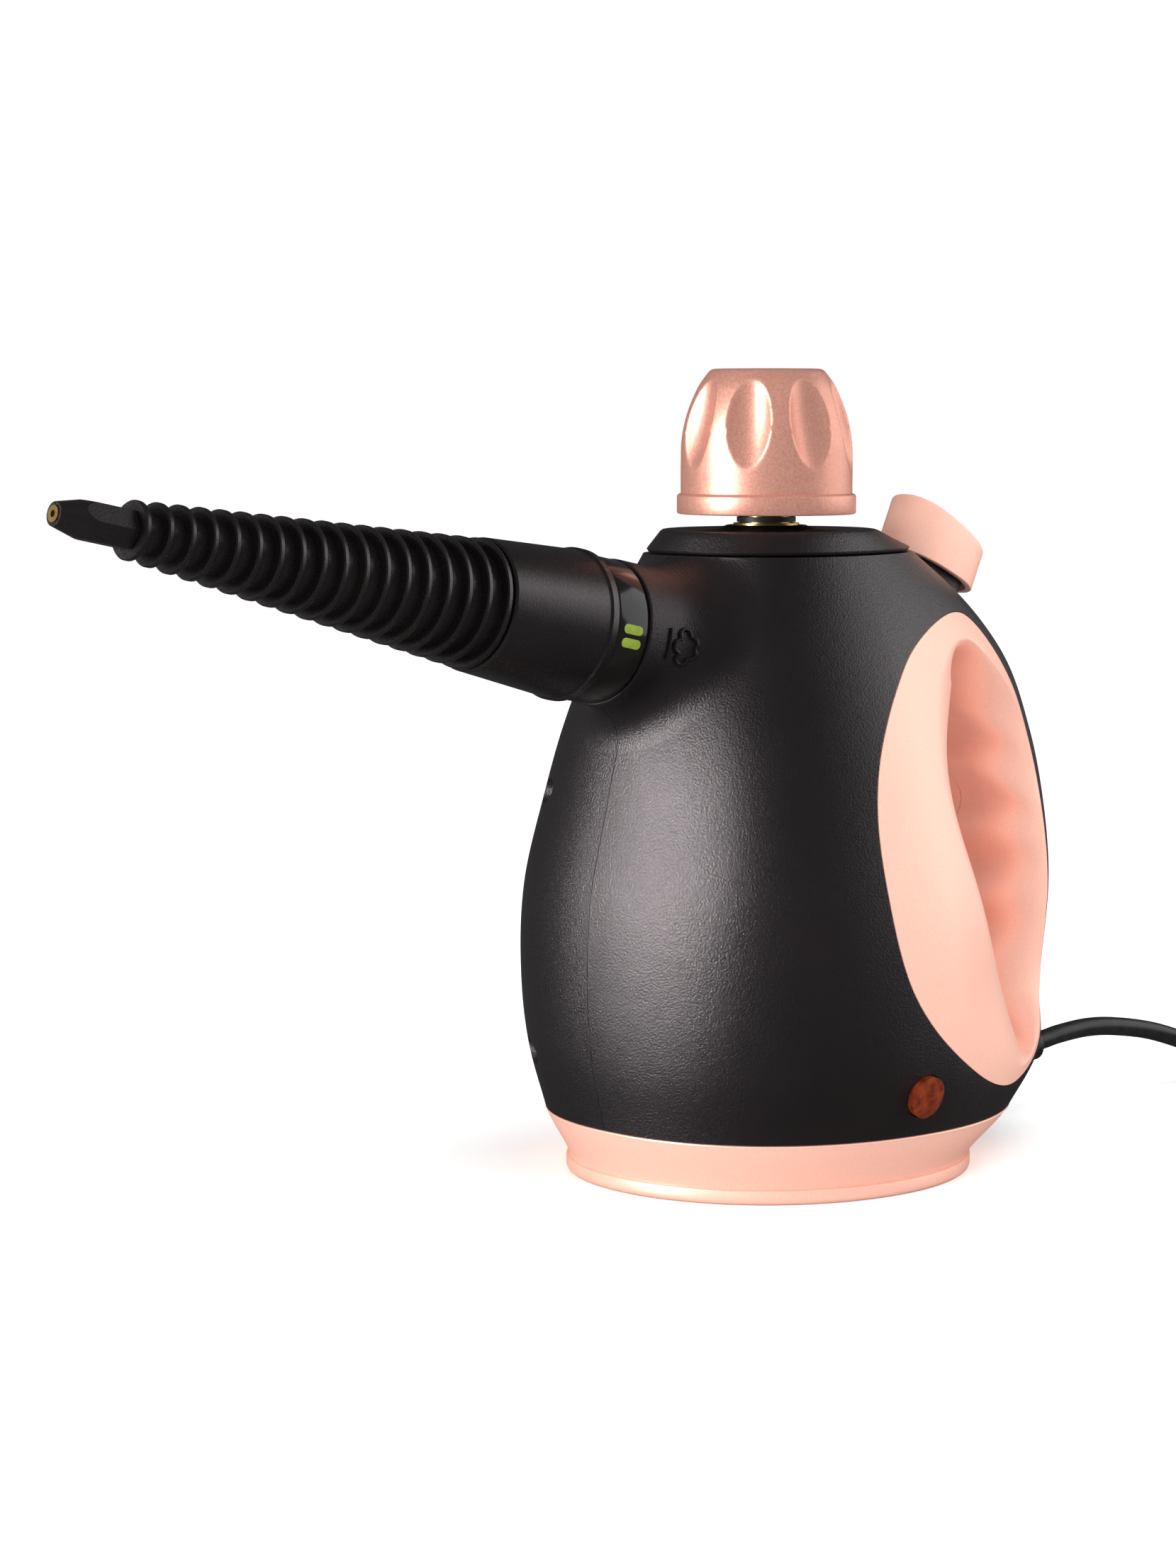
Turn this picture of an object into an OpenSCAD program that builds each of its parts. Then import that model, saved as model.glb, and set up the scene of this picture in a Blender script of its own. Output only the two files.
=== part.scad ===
// Handheld pressure steam cleaner: a boiler in a two-part moulded housing with a
// through grip, a screw cap on top, a thumb trigger and a ribbed steam nozzle.
// Millimetres. +X points along the nozzle, +Y to the user's left, +Z up, and the
// origin lies under the base, on the axis of the cap.

/* [Fits] */
// Gap between neighbouring parts
fit = 0.3; // [0.2:0.05:0.4]
// Gap along the seam of the two housing halves
seam = 0.2; // [0.1:0.05:0.3]
// Gap of a pin in its bore
run = 0.08; // [0.05:0.01:0.1]

/* [Housing] */
// Wall of the moulded shells
wall = 2.6; // [2.2:0.1:3]
// Height of the base cover
base_h = 18.2; // [16:0.2:21]
// Height of the housing above the base cover
body_h = 163; // [158:1:170]
// Reach of the housing foot towards the nozzle
base_front = 63.2; // [60:0.2:66]
// Reach of the housing foot towards the cord
base_back = 79; // [76:0.5:82]
// Width of the housing foot
base_w = 128.4; // [124:0.4:132]
// Reach of the belly towards the nozzle
belly_front = 69.8; // [66:0.2:74]
// Reach of the belly towards the back of the grip
belly_back = 116; // [113:0.5:120]
// Width of the belly
belly_w = 142; // [136:1:148]
// Reach of the top face towards the nozzle
top_front = 35; // [33:0.5:37]
// Reach of the top face towards the trigger
top_back = 51; // [49:0.5:53]
// Width of the top face
top_w = 69; // [66:0.5:73]
// Roundness of the front, 2 is an ellipse
front_power = 2.2; // [2:0.05:2.4]
// Half width of the back of the grip
spine_r = 26; // [22:0.5:30]

/* [Grip] */
// Depth of the grip bar behind the finger opening
bar_depth = 34; // [31:0.5:37]
// Width of the black spine seen from the side
spine_depth = 20; // [17:0.5:24]
// Height of the lower end of the finger opening
grip_low = 37; // [34:0.5:42]
// Height of the finger opening
grip_h = 114; // [108:1:118]
// Width of the finger opening on the seam
grip_w = 35; // [32:0.5:37]
// Depth of the finger grooves
groove_d = 2.6; // [0.5:0.1:3.5]
// Finger grooves
grooves = 5; // [3:1:6]

/* [Base cover] */
// Reach of the foot ring towards the nozzle
foot_front = 58.8; // [56:0.2:60]
// Reach of the foot ring towards the cord
foot_back = 63.6; // [60:0.2:66]
// Width of the foot ring
foot_w = 115.6; // [112:0.4:119]
// Height of the foot ring
foot_h = 4.2; // [3:0.2:5]
// Step of the wall behind the foot ring
foot_step = 0.9; // [0.4:0.1:1.4]
// Floor of the base cover
floor_t = 3; // [2.4:0.2:3.6]

/* [Top collar] */
// Height of the collar
collar_h = 6.8; // [5.5:0.1:8]
// Radius of its flat top
collar_r = 30.5; // [29:0.5:32]
// Height of the raised centre
crown_h = 2.2; // [1.4:0.1:2.4]

/* [Cap] */
// Radius of the skirt
cap_r = 26.1; // [25.5:0.1:27]
// Height of the cap
cap_h = 42; // [39:0.5:45]
// Radius of the flat end
cap_top_r = 16.2; // [15:0.1:17]
// Flutes round the cap
flutes = 8; // [6:1:10]
// Depth of a flute
flute_d = 3.6; // [2.4:0.1:3.8]
// Radius of a flute
flute_r = 9; // [7.5:0.25:10]
// Travel when the cap is pressed
cap_press = 3; // [2:0.25:3]
// Gap under the skirt
cap_gap = 4.4; // [4.2:0.1:6]

/* [Filler neck] */
// Radius of the brass neck
neck_r = 9.6; // [9:0.1:10]
// Bore of the neck
neck_bore = 7.4; // [6.8:0.1:7.8]
// Length of the plug in the neck
plug_len = 10; // [8:0.5:12]

/* [Boiler] */
// Radius of the boiler
boiler_r = 35; // [32:0.5:35.5]
// Wall of the boiler
boiler_wall = 3; // [2.5:0.25:4]
// Height of the boiler's underside
boiler_low = 36; // [34:0.5:40]
// Height of the boiler
boiler_h = 96; // [88:1:98]
// Width of the boiler flange
flange_w = 6; // [5.5:0.25:6.25]

/* [Trigger] */
// Length of the trigger button
btn_len = 36; // [33:0.5:38]
// Width of the trigger button
btn_w = 22; // [20:0.5:24]
// Height of the trigger button
btn_h = 14.5; // [12.5:0.5:16]
// Tilt of the trigger button
btn_tilt = 25; // [22:0.5:27]
// Wall of the trigger button
btn_wall = 1.8; // [1.4:0.1:2.2]
// Radius of the trigger pin
pin_r = 1.5; // [1.2:0.1:1.8]
// Reach of the lever in front of the pin
lever_reach = 35; // [33:0.5:37]

/* [Nozzle] */
// Rise of the nozzle
nozzle_tilt = 11.4; // [9:0.2:13]
// Height where the nozzle's axis meets the axis of the cap
nozzle_z = 147.6; // [145:0.2:150]
// Distance of the neck's end face along the nozzle's axis
neck_end = 66.5; // [64.5:0.5:69]
// Radius of the housing neck
outlet_r = 21; // [20.6:0.1:21.8]
// Fillet of the housing neck
outlet_fillet = 12; // [9:0.5:13]
// Radius of the lock ring
ring_r = 20.6; // [20:0.1:21.4]
// Length of the lock ring
ring_len = 11.5; // [9.5:0.5:13]
// Radius of the sleeve at the ring
sleeve_r = 21.6; // [21:0.1:22.4]
// Radius of the sleeve at the ribs
sleeve_end_r = 18.6; // [18:0.1:19.4]
// Length of the sleeve
sleeve_len = 35.5; // [33:0.5:39]
// Ribs of the nozzle
ribs = 18; // [14:1:20]
// Spacing of the ribs
rib_pitch = 6.59; // [6:0.05:7]
// Radius of the largest rib
rib_r = 18.1; // [17.4:0.1:18.4]
// Radius of the smallest rib
rib_end_r = 7.8; // [7.2:0.1:8.6]
// Thickness of a rib
rib_t = 1.8; // [1.2:0.1:2.2]
// Steam bore of the nozzle
bore_r = 2.4; // [2:0.1:2.8]
// Radius of the spigot in the nozzle
spigot_r = 11; // [10.4:0.1:11.6]
// Length of the spigot in the nozzle
spigot_len = 20; // [18:0.5:21]
// Travel to pull the nozzle off
pull = 24; // [22:0.5:26]
// Turn of the nozzle between its stops
twist = 40; // [30:5:50]

/* [Steam jet] */
// Width across the flats of the tip
tip_af = 9.8; // [9:0.1:10.6]
// Length of the tip in front of the ribs
tip_len = 22.5; // [20:0.5:25]
// Radius of the tip's end face
tip_end_r = 3.2; // [3:0.1:3.6]
// Radius of the brass jet
jet_r = 2.2; // [1.8:0.1:2.4]
// Radius of the steam hole
hole_r = 0.9; // [0.6:0.1:1.1]

/* [Indicator] */
// Radius of the lens
lens_r = 6.2; // [5.6:0.1:6.8]
// Height of the lens
lens_z = 30; // [29:0.5:34]

/* [Mains cord] */
// Diameter of the cord
cord_d = 6; // [5.6:0.1:6.2]
// Loops in one layer of the coil
loops = 3; // [2:1:3]
// Radius of the strain relief
gland_r = 5.3; // [5:0.1:5.6]
// Height of the strain relief at the housing
gland_z = 18.6; // [18:0.1:20]
// Rise of the strain relief
gland_tilt = 6; // [4:0.5:8]
// Length of the strain relief
gland_len = 42; // [40:0.5:44]

/* [Hidden] */
$fn = 64;
black = "#1d1c1e";
rose = "#eeb5a2";
brass = "#c9a24e";
steel = "#b9bcc0";
alloy = "#a7abb0";
silicone = "#8a3b2a";

z_top = base_h + body_h;
collar_z = z_top + seam;
collar_top = collar_z + collar_h;
cap_z = collar_top + cap_gap;
rim_z = collar_top + 1.8;
seal_t = 1.8;
boiler_top = boiler_low + boiler_h;
flange_z = boiler_low + 0.62 * boiler_h;
flange_t = 4;
gasket_t = 2;
bolt_ring = boiler_r + flange_w / 2;
bolts = 6;

// Pin of the trigger, in the frame of the button and in the frame of the part
pivot_in = [7.5, -5.5];
pivot = [-top_back + 0.4 - pivot_in[0] * cos(btn_tilt) - pivot_in[1] * sin(btn_tilt),
    z_top + 0.7 - pivot_in[0] * sin(btn_tilt) + pivot_in[1] * cos(btn_tilt)];

// Profiles of the housing against the share of its height
front_keys = [[0, base_front], [0.11, 0.968 * belly_front], [0.26, belly_front],
    [0.41, 0.983 * belly_front], [0.56, 0.901 * belly_front], [0.69, 0.822 * belly_front],
    [0.84, 0.702 * belly_front], [1, top_front]];
back_keys = [[0, base_back], [0.07, 0.868 * belly_back], [0.165, 0.935 * belly_back], [0.35, belly_back],
    [0.5, 0.991 * belly_back], [0.655, 0.931 * belly_back], [0.81, 0.802 * belly_back],
    [0.92, 0.621 * belly_back], [1, top_back]];
half_keys = [[0, base_w / 2], [0.11, 0.486 * belly_w], [0.26, belly_w / 2], [0.41, 0.49 * belly_w],
    [0.56, 0.452 * belly_w], [0.69, 0.408 * belly_w], [0.84, 0.335 * belly_w], [1, top_w / 2]];
widest_keys = [[0, -7], [0.26, -4], [0.56, -2], [1, 0]];
full_keys = [[0, 1], [0.085, 0.55], [0.2, 0.1], [0.38, 0], [0.75, 0], [0.9, 0.3], [1, 0.6]];

// Outline of the grip panel: share of the belly's reach, share of the opening's height
leaf_keys = [[-0.45, 1.105], [-0.12, 1.03], [0.09, 0.807], [0.152, 0.521], [0.09, 0.217],
    [-0.11, 0.011], [-0.4, -0.09]];
leaf_rear = [0.035, 0.264, 0.493, 0.722, 0.922];

housing_screw_z = [112, 36, 120, 46];
base_screw_at = [[36, 36], [-44, 30]];
boss_r = 4.2;
lip_z = base_h + 3.5;
boss_low = base_h - 6;
boss_top = base_h + 7;
screw_r = 1.5;
head_r = 3.2;
screw_len = 24;
screw_seat = 9;

// Smooth curve through keys of [place, value]
function tangent(k, i) =
    let (n = len(k) - 1)
    i == 0 ? (k[1][1] - k[0][1]) / (k[1][0] - k[0][0])
    : i == n ? (k[n][1] - k[n - 1][1]) / (k[n][0] - k[n - 1][0])
    : let (a = k[i][0] - k[i - 1][0], b = k[i + 1][0] - k[i][0])
        ((k[i][1] - k[i - 1][1]) / a * b + (k[i + 1][1] - k[i][1]) / b * a) / (a + b);
function curve(k, t) =
    let (n = len(k) - 1,
        c = min(max(t, k[0][0]), k[n][0]),
        i = [for (j = [0 : n - 1]) if (c >= k[j][0] && c <= k[j + 1][0]) j][0],
        h = k[i + 1][0] - k[i][0],
        s = (c - k[i][0]) / h)
    (2 * s ^ 3 - 3 * s ^ 2 + 1) * k[i][1] + (s ^ 3 - 2 * s ^ 2 + s) * h * tangent(k, i)
    + (3 * s ^ 2 - 2 * s ^ 3) * k[i + 1][1] + (s ^ 3 - s ^ 2) * h * tangent(k, i + 1);
function smooth(t) = let (c = min(max(t, 0), 1)) c * c * (3 - 2 * c);
function mix(a, b, t) = a + (b - a) * t;

// Closed or open smooth path through points
function path_point(p, i, s, closed) =
    let (n = len(p),
        at = function (j) closed ? p[(j + n) % n] : p[min(max(j, 0), n - 1)],
        a = at(i - 1), b = at(i), c = at(i + 1), d = at(i + 2))
    0.5 * (2 * b + (c - a) * s + (2 * a - 5 * b + 4 * c - d) * s ^ 2 + (3 * b - a - 3 * c + d) * s ^ 3);
function smooth_path(p, steps, closed = false) =
    let (n = len(p) - (closed ? 0 : 1))
    concat([for (i = [0 : n - 1], j = [0 : steps - 1]) path_point(p, i, j / steps, closed)],
        closed ? [] : [p[n]]);

// Plan section: half an ellipse in front, a tapered end behind
function section(front, back, half, widest, full, power, n) =
    let (k1 = mix(0.15, 0.5523, full),
        k2 = mix(min(spine_r, half), 0.5523 * half, full),
        l = widest + back,
        side = concat(
            [for (i = [0 : n / 2 - 1]) let (a = 180 * i / n)
                [widest + (front - widest) * cos(a) ^ (2 / power), half * sin(a) ^ (2 / power)]],
            [for (i = [0 : n / 2]) let (t = 2 * i / n, u = 1 - t)
                [widest - l * (3 * k1 * t * u ^ 2 + 3 * t ^ 2 * u + t ^ 3),
                    half * (u ^ 3 + 3 * t * u ^ 2) + 3 * k2 * t ^ 2 * u]]))
    concat(side, [for (i = [n - 1 : -1 : 1]) [side[i][0], -side[i][1]]]);
function share(z) = (z - base_h) / body_h;
function front_at(z) = curve(front_keys, share(z));
function back_at(z) = curve(back_keys, share(z));
function half_at(z) = curve(half_keys, share(z));
function body_ring(z, inset, n) =
    [for (p = section(front_at(z) - inset, back_at(z) - inset, half_at(z) - inset,
        curve(widest_keys, share(z)), curve(full_keys, share(z)), front_power, n)) [p[0], p[1], z]];

// Solid between rings of points, each ring turning left round the way along
module loft(rings) {
    n = len(rings[0]);
    m = len(rings);
    quads = [for (k = [0 : m - 2], i = [0 : n - 1]) let (j = (i + 1) % n)
        each [[k * n + i, (k + 1) * n + i, (k + 1) * n + j], [k * n + i, (k + 1) * n + j, k * n + j]]];
    polyhedron([for (r = rings) each r],
        concat([[for (i = [0 : n - 1]) i]], quads, [[for (i = [n - 1 : -1 : 0]) (m - 1) * n + i]]));
}

// Round tube along a path, with level cross-lines
function unit(v) = v / norm(v);
function path_way(p, i) = unit(p[min(i + 1, len(p) - 1)] - p[max(i - 1, 0)]);
function tube_rings(p, r, sides) =
    [for (i = [0 : len(p) - 1]) let (t = path_way(p, i), a = unit(cross([0, 0, 1], t)), b = cross(t, a))
        [for (k = [0 : sides - 1]) p[i] + r * (cos(360 * k / sides) * a + sin(360 * k / sides) * b)]];
module tube(p, r, sides) loft(tube_rings(p, r, sides));

function helix(r, low, high, turns) =
    [for (i = [0 : 8 * turns]) [r * cos(45 * i), r * sin(45 * i), mix(low, high, i / (8 * turns))]];

module keep_side(side) {
    intersection() {
        children();
        translate([-300, side > 0 ? seam / 2 : -200 - seam / 2, -20]) cube([600, 200, 400]);
    }
}
module across(x, z) translate([x, 0, z]) rotate([90, 0, 0]) children();
module on_nozzle(s = 0) translate([0, 0, nozzle_z]) rotate([0, 90 - nozzle_tilt, 0]) translate([0,
    0, s]) children();
module ring(r_out, r_in, low, high) {
    difference() {
        translate([0, 0, low]) cylinder(r = r_out, h = high - low);
        translate([0, 0, low - 1]) cylinder(r = r_in, h = high - low + 2);
    }
}
module stadium(len, width) {
    translate([width / 2, 0]) circle(d = width);
    translate([len - width / 2, 0]) circle(d = width);
    translate([width / 2, -width / 2]) square([len - width, width]);
}
module oval(len, width) {
    polygon([for (i = [0 : 59]) let (c = cos(6 * i), s = sin(6 * i))
        [len / 2 + len / 2 * sign(c) * abs(c) ^ 0.83, width / 2 * sign(s) * abs(s) ^ 0.83]]);
}
module link(a, b, r) {
    l = norm(b - a);
    translate(a) circle(r);
    translate(b) circle(r);
    translate(a) rotate(atan2(b[1] - a[1], b[0] - a[0])) translate([0, -r]) square([l, 2 * r]);
}

// Finger opening: rings in XZ stacked along Y, with a flare to the outside
grip_mid = grip_low + grip_h / 2;
flare_y = belly_w / 2;
function grip_front(s, f) =
    mix(curve([[0, -0.54], [0.5, -0.414], [1, -0.4]], s),
        curve([[0, -0.44], [0.35, -0.26], [0.75, -0.135], [1, -0.2]], s), f) * belly_back;
function grip_back(s, f) =
    let (z = grip_low + s * grip_h,
        g = groove_d * (0.5 - 0.5 * cos(360 * grooves * (s - 0.14) / 0.72))
            * (s > 0.14 && s < 0.86 ? 1 : 0))
    mix(min(bar_depth - back_at(z), grip_front(s, 0) - 0.5 * grip_w) - g * (1 - 0.6 * f),
        curve([[0, -0.52], [0.5, -0.62], [1, -0.5]], s) * belly_back, 0.75 * f);
function grip_ring(y, grow, n) =
    let (f = smooth(y / flare_y) ^ 1.3)
    [for (i = [0 : n - 1])
        let (a = 360 * i / n,
            c = cos(a),
            h = grip_h / 2 + grow + 3 * f,
            z = grip_mid + h * sign(c) * abs(c) ^ 0.8,
            s = min(max((z - grip_low) / grip_h, 0), 1),
            x1 = grip_front(s, f) + grow,
            x2 = grip_back(s, f) - grow)
        [(x1 + x2) / 2 + (x1 - x2) / 2 * sign(sin(a)) * abs(sin(a)) ^ 0.8, y, z]];
// Outline of the grip panel in XZ
function leaf_points() =
    let (front = [for (k = leaf_keys) [k[0] * belly_back, grip_low + k[1] * grip_h]],
        rear = [for (s = leaf_rear) let (z = grip_low + s * grip_h) [spine_depth - back_at(z), z]])
    smooth_path(concat(front, rear), 4, true);
module leaf(grow = 0) {
    rotate([90, 0, 0]) linear_extrude(400, center = true) offset(delta = grow) polygon(leaf_points());
}

body_z = [0, 0.03, 0.07, 0.115, 0.165, 0.22, 0.28, 0.34, 0.4, 0.46, 0.52, 0.58, 0.64, 0.695, 0.75,
    0.8, 0.845,
    0.885, 0.92, 0.95, 0.977, 1];
module body_solid(inset, low, high, n = 24, skip = 1) {
    inner = [for (i = [0 : skip : len(body_z) - 1]) base_h + body_z[i] * body_h];
    steps = concat([low], [for (z = inner) if (z > low + 1 && z < high - 1) z], [high]);
    loft([for (z = steps) body_ring(z, inset, n)]);
}

// Neck of the housing, with a fillet that runs out into the body all round
function outlet_point(r, a, s) = [s * cos(nozzle_tilt) + r * cos(a) * sin(nozzle_tilt), r * sin(a),
    nozzle_z + s * sin(nozzle_tilt) - r * cos(a) * cos(nozzle_tilt)];
function past_body(p) =
    let (z = min(p[2], z_top), w = curve(widest_keys, share(z)))
    (max(p[0] - w, 0) / (front_at(z) - w)) ^ front_power + (abs(p[1]) / half_at(z)) ^ front_power > 1;
function outlet_foot(r, a, low, high, n) =
    let (mid = (low + high) / 2)
    n == 0 ? mid : past_body(outlet_point(r, a, mid)) ? outlet_foot(r, a, low, mid, n - 1)
        : outlet_foot(r, a, mid, high, n - 1);
function outlet_ring(r, lift) = [for (a = [0 : 7.5 : 359])
    outlet_point(r, a, outlet_foot(r, a, 0, 2 * neck_end, 14) + lift)];
function outlet_disc(r, s) = [for (a = [0 : 7.5 : 359]) outlet_point(r, a, s)];
function outlet_rings() = concat([outlet_disc(outlet_r, wall), outlet_ring(outlet_r + outlet_fillet, -fit)],
    [for (a = [15 : 15 : 90])
        outlet_ring(outlet_r + outlet_fillet * (1 - sin(a)), outlet_fillet * (1 - cos(a)))],
    [outlet_disc(outlet_r, neck_end - 0.8), outlet_disc(outlet_r - 0.4, neck_end)]);
module outlet() {
    intersection() {
        loft(outlet_rings());
        translate([0, -100, 0]) cube([200, 200, z_top]);
    }
}

function housing_screws_xz() = [for (i = [0 : 3]) let (z = housing_screw_z[i])
    [i < 2 ? front_at(z) - 10.5 : bar_depth / 2.6 - back_at(z), z]];

module housing_half(side) {
    color(black) keep_side(side) difference() {
        union() {
            difference() {
                union() {
                    body_solid(0, base_h + seam, z_top);
                    outlet();
                }
                body_solid(wall, base_h - 1, z_top - wall, 16, 2);
            }
            intersection() {
                body_solid(wall / 2, base_h + seam, z_top, 16, 2);
                union() {
                    for (p = housing_screws_xz()) {
                        across(p[0], p[1]) cylinder(r = boss_r, h = 2 * belly_w, center = true, $fn = 16);
                        for (lift = [-1, 1]) hull() {
                            across(p[0], p[1]) cylinder(r = 1, h = 30, center = true, $fn = 6);
                            across(p[0] + (p[0] > 0 ? 14 : -18), p[1] + lift * 3)
                                cylinder(r = 1, h = 30, center = true, $fn = 6);
                        }
                    }
                    for (p = base_screw_at, s = [-1, 1]) hull() {
                        translate([p[0], s * p[1], lip_z + 0.5]) cylinder(r = 2,
                            h = boss_top - lip_z - 1, $fn = 8);
                        translate([p[0] * 1.3, s * p[1] * 2, lip_z + 0.5]) cylinder(r = 1,
                            h = boss_top - lip_z - 1, $fn = 6);
                    }
                }
            }
            for (p = base_screw_at, s = [-1, 1])
                translate([p[0], s * p[1], boss_low]) cylinder(r = boss_r, h = boss_top - boss_low,
                    $fn = 16);
        }
        for (p = housing_screws_xz()) {
            across(p[0], p[1]) cylinder(r = screw_r + fit, h = 2 * screw_len, center = true, $fn = 12);
            if (side < 0) across(p[0], p[1]) translate([0, 0, screw_seat])
                cylinder(r = head_r + 2 * fit, h = belly_w, $fn = 16);
        }
        leaf(fit);
        for (p = base_screw_at, s = [-1, 1])
            translate([p[0], s * p[1], boss_low - 1]) cylinder(r = screw_r + fit,
                h = boss_top - boss_low - 1, $fn = 12);
        on_nozzle(neck_end - 30) cylinder(r = seat_r + fit, h = 40, $fn = 40);
        on_nozzle(neck_end - 16) cylinder(r = seat_r + 2 + fit, h = 4, $fn = 40);
        translate([0, 0, z_top - 10]) cylinder(r = neck_r + 5, h = 20, $fn = 32);
        trigger_place() guide_prism(fit);
        trigger_place() translate([-30, -lever_t / 2 - 3, -30]) cube([40, lever_t + 6, 29]);
        gland_place() cylinder(r = gland_r + fit, h = 80, center = true, $fn = 24);
        if (side > 0) lens_place() cylinder(r = lens_r + fit, h = 30, center = true, $fn = 32);
    }
}
module left_housing() housing_half(1);
module right_housing() housing_half(-1);

// Grip panel: a skin that runs from its outline over the lip into the finger opening and back inside
function bezier_turn(v, k1, low, high, n) =
    let (m = (low + high) / 2, u = 1 - m)
    n == 0 ? m
    : 3 * k1 * m * u ^ 2 + 3 * m ^ 2 * u + m ^ 3 < v ? bezier_turn(v, k1, m, high, n - 1)
    : bezier_turn(v, k1, low, m, n - 1);
function body_y(x, z) =
    let (w = curve(widest_keys, share(z)), h = half_at(z), full = curve(full_keys, share(z)),
        k1 = mix(0.15, 0.5523, full),
        k2 = mix(min(spine_r, h), 0.5523 * h, full),
        t = bezier_turn((w - x) / (w + back_at(z)), k1, 0, 1, 24),
        u = 1 - t)
    x > w ? h * (1 - ((x - w) / (front_at(z) - w)) ^ front_power) ^ (1 / front_power)
    : h * (u ^ 3 + 3 * t * u ^ 2) + 3 * k2 * t ^ 2 * u;
function on_body(p, inset) = [p[0], body_y(p[0], p[1]) - inset, p[1]];
function bend(a, b, c, t) = a * (1 - t) ^ 2 + b * 2 * t * (1 - t) + c * t ^ 2;
lip_start = [[0, 0.3], [0.12, 0.55], [0.25, 0.84], [0.4, 0.72], [0.5, 0.4], [0.62, 0.08], [0.75, 0.05],
    [0.9, 0.08], [1, 0.3]];
roll_share = [[0, 0.45], [0.1, 0], [0.43, 0], [0.52, 0.45], [0.61, 1], [0.89, 1], [1, 0.45]];
function panel_rings(inset) =
    let (edge = leaf_points(), n = len(edge), mouth = grip_ring(0.86 * flare_y, inset, n),
        bar = grip_ring(0, inset, n))
    [for (w = inset > 0 ? [0, 1.5, 2] : [0, 0.5, 1, 1.25, 1.5, 1.75, 2, 3, 4])
        [for (i = [0 : n - 1])
            let (s = curve(lip_start, i / n),
                q = min(max(curve(roll_share, i / n), 0), 1),
                m = [mouth[i][0], mouth[i][2]],
                start = on_body(mix(edge[i], m, s), inset),
                rim = on_body(m, inset),
                corner = mix(rim, [bar[i][0] + 0.5, 0.97 * start[1], mix(start[2], bar[i][2], 0.5)], q),
                reach = mix(mix(0.5, 0.8, smooth((s - 0.35) / 0.3)) * rim[1], 0.3 * start[1], q),
                deep = grip_ring(reach, inset, n)[i],
                seat = grip_ring(seam / 2, inset, n)[i])
            w <= 1 ? on_body(mix(edge[i], m, s * w), inset)
            : w <= 2 ? bend(start, corner, deep, w - 1)
            : w == 3 ? grip_ring(mix(seam / 2, deep[1], 0.5), inset, n)[i]
            : seat]];
module grip_panel() {
    n = len(leaf_points());
    inside = panel_rings(wall);
    rings = concat(panel_rings(0), [grip_ring(seam / 2, wall, n)],
        [for (k = [len(inside) - 1 : -1 : 0]) inside[k]]);
    m = len(rings);
    color(rose) polyhedron([for (r = rings) each r],
        [for (k = [0 : m - 1], i = [0 : n - 1]) let (j = (i + 1) % n, q = (k + 1) % m)
            each [[k * n + i, q * n + i, q * n + j], [k * n + i, q * n + j, k * n + j]]]);
}
module left_grip_panel() grip_panel();
module right_grip_panel() mirror([0, 1, 0]) grip_panel();

// Base cover: flared cup with a foot ring, a lip into the housing and posts for the boiler
function foot_ring(z, inset) =
    [for (p = section(foot_front - inset, foot_back - inset, foot_w / 2 - inset, -2.4, 1, 2.05,
        24)) [p[0], p[1], z]];
function base_ring(t, inset) =
    let (e = smooth(t) * 0.35 + t * 0.65)
    [for (p = section(mix(foot_front - foot_step, base_front, e) - inset,
        mix(foot_back - foot_step, base_back, e) - inset,
        mix(foot_w / 2 - foot_step, base_w / 2, e) - inset, mix(-2.4, -7, e), 1, mix(2.05,
            front_power, e), 24))
        [p[0], p[1], mix(foot_h + 0.4, base_h, t)]];
post_ring = boiler_r - 5;
module base_cover() {
    color(rose) difference() {
        union() {
            difference() {
                loft(concat([foot_ring(0, 1.4), foot_ring(0.5, 0.4), foot_ring(1.4, 0),
                    foot_ring(foot_h, 0)],
                    [for (t = [0, 0.3, 0.65, 1]) base_ring(t, 0)]));
                loft(concat([[for (p = base_ring(0, wall + 1.5)) [p[0], p[1], floor_t]]],
                    [for (t = [0.3, 0.65, 1]) base_ring(t, wall)],
                    [[for (p = base_ring(1, wall)) [p[0], p[1], base_h + 1]]]));
            }
            difference() {
                loft([for (z = [base_h - 3, lip_z]) [for (p = base_ring(1, wall + fit)) [p[0],
                    p[1], z]]]);
                loft([for (z = [base_h - 4, base_h + 4.5]) [for (p = base_ring(1,
                    wall + fit + 1.6)) [p[0], p[1], z]]]);
            }
            for (a = [45 : 90 : 315]) rotate(a) translate([post_ring, 0, floor_t - 0.5])
                cylinder(r = 3.4, h = boiler_low - floor_t + 0.5 - seam);
            for (p = base_screw_at, s = [-1, 1]) translate([p[0], s * p[1], floor_t - 0.5])
                cylinder(r = boss_r, h = boss_low - seam - floor_t + 0.5);
        }
        for (p = base_screw_at, s = [-1, 1]) translate([p[0], s * p[1], -1]) {
            cylinder(r = screw_r + fit, h = 40);
            cylinder(r = head_r + fit, h = 8);
        }
        gland_place() cylinder(r = gland_r + fit, h = 80, center = true);
    }
}
module screw(len) {
    cylinder(r = screw_r, h = len);
    translate([0, 0, -2]) cylinder(r = head_r, h = 2);
}
module base_screws() {
    color(steel) for (p = base_screw_at, s = [-1, 1]) translate([p[0], s * p[1],
        7 - seam]) screw(boss_top - 9);
}
module housing_screws() {
    color(steel) for (p = housing_screws_xz()) translate([p[0], -screw_seat - seam,
        p[1]]) rotate([-90, 0, 0]) screw(screw_len);
}

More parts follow.
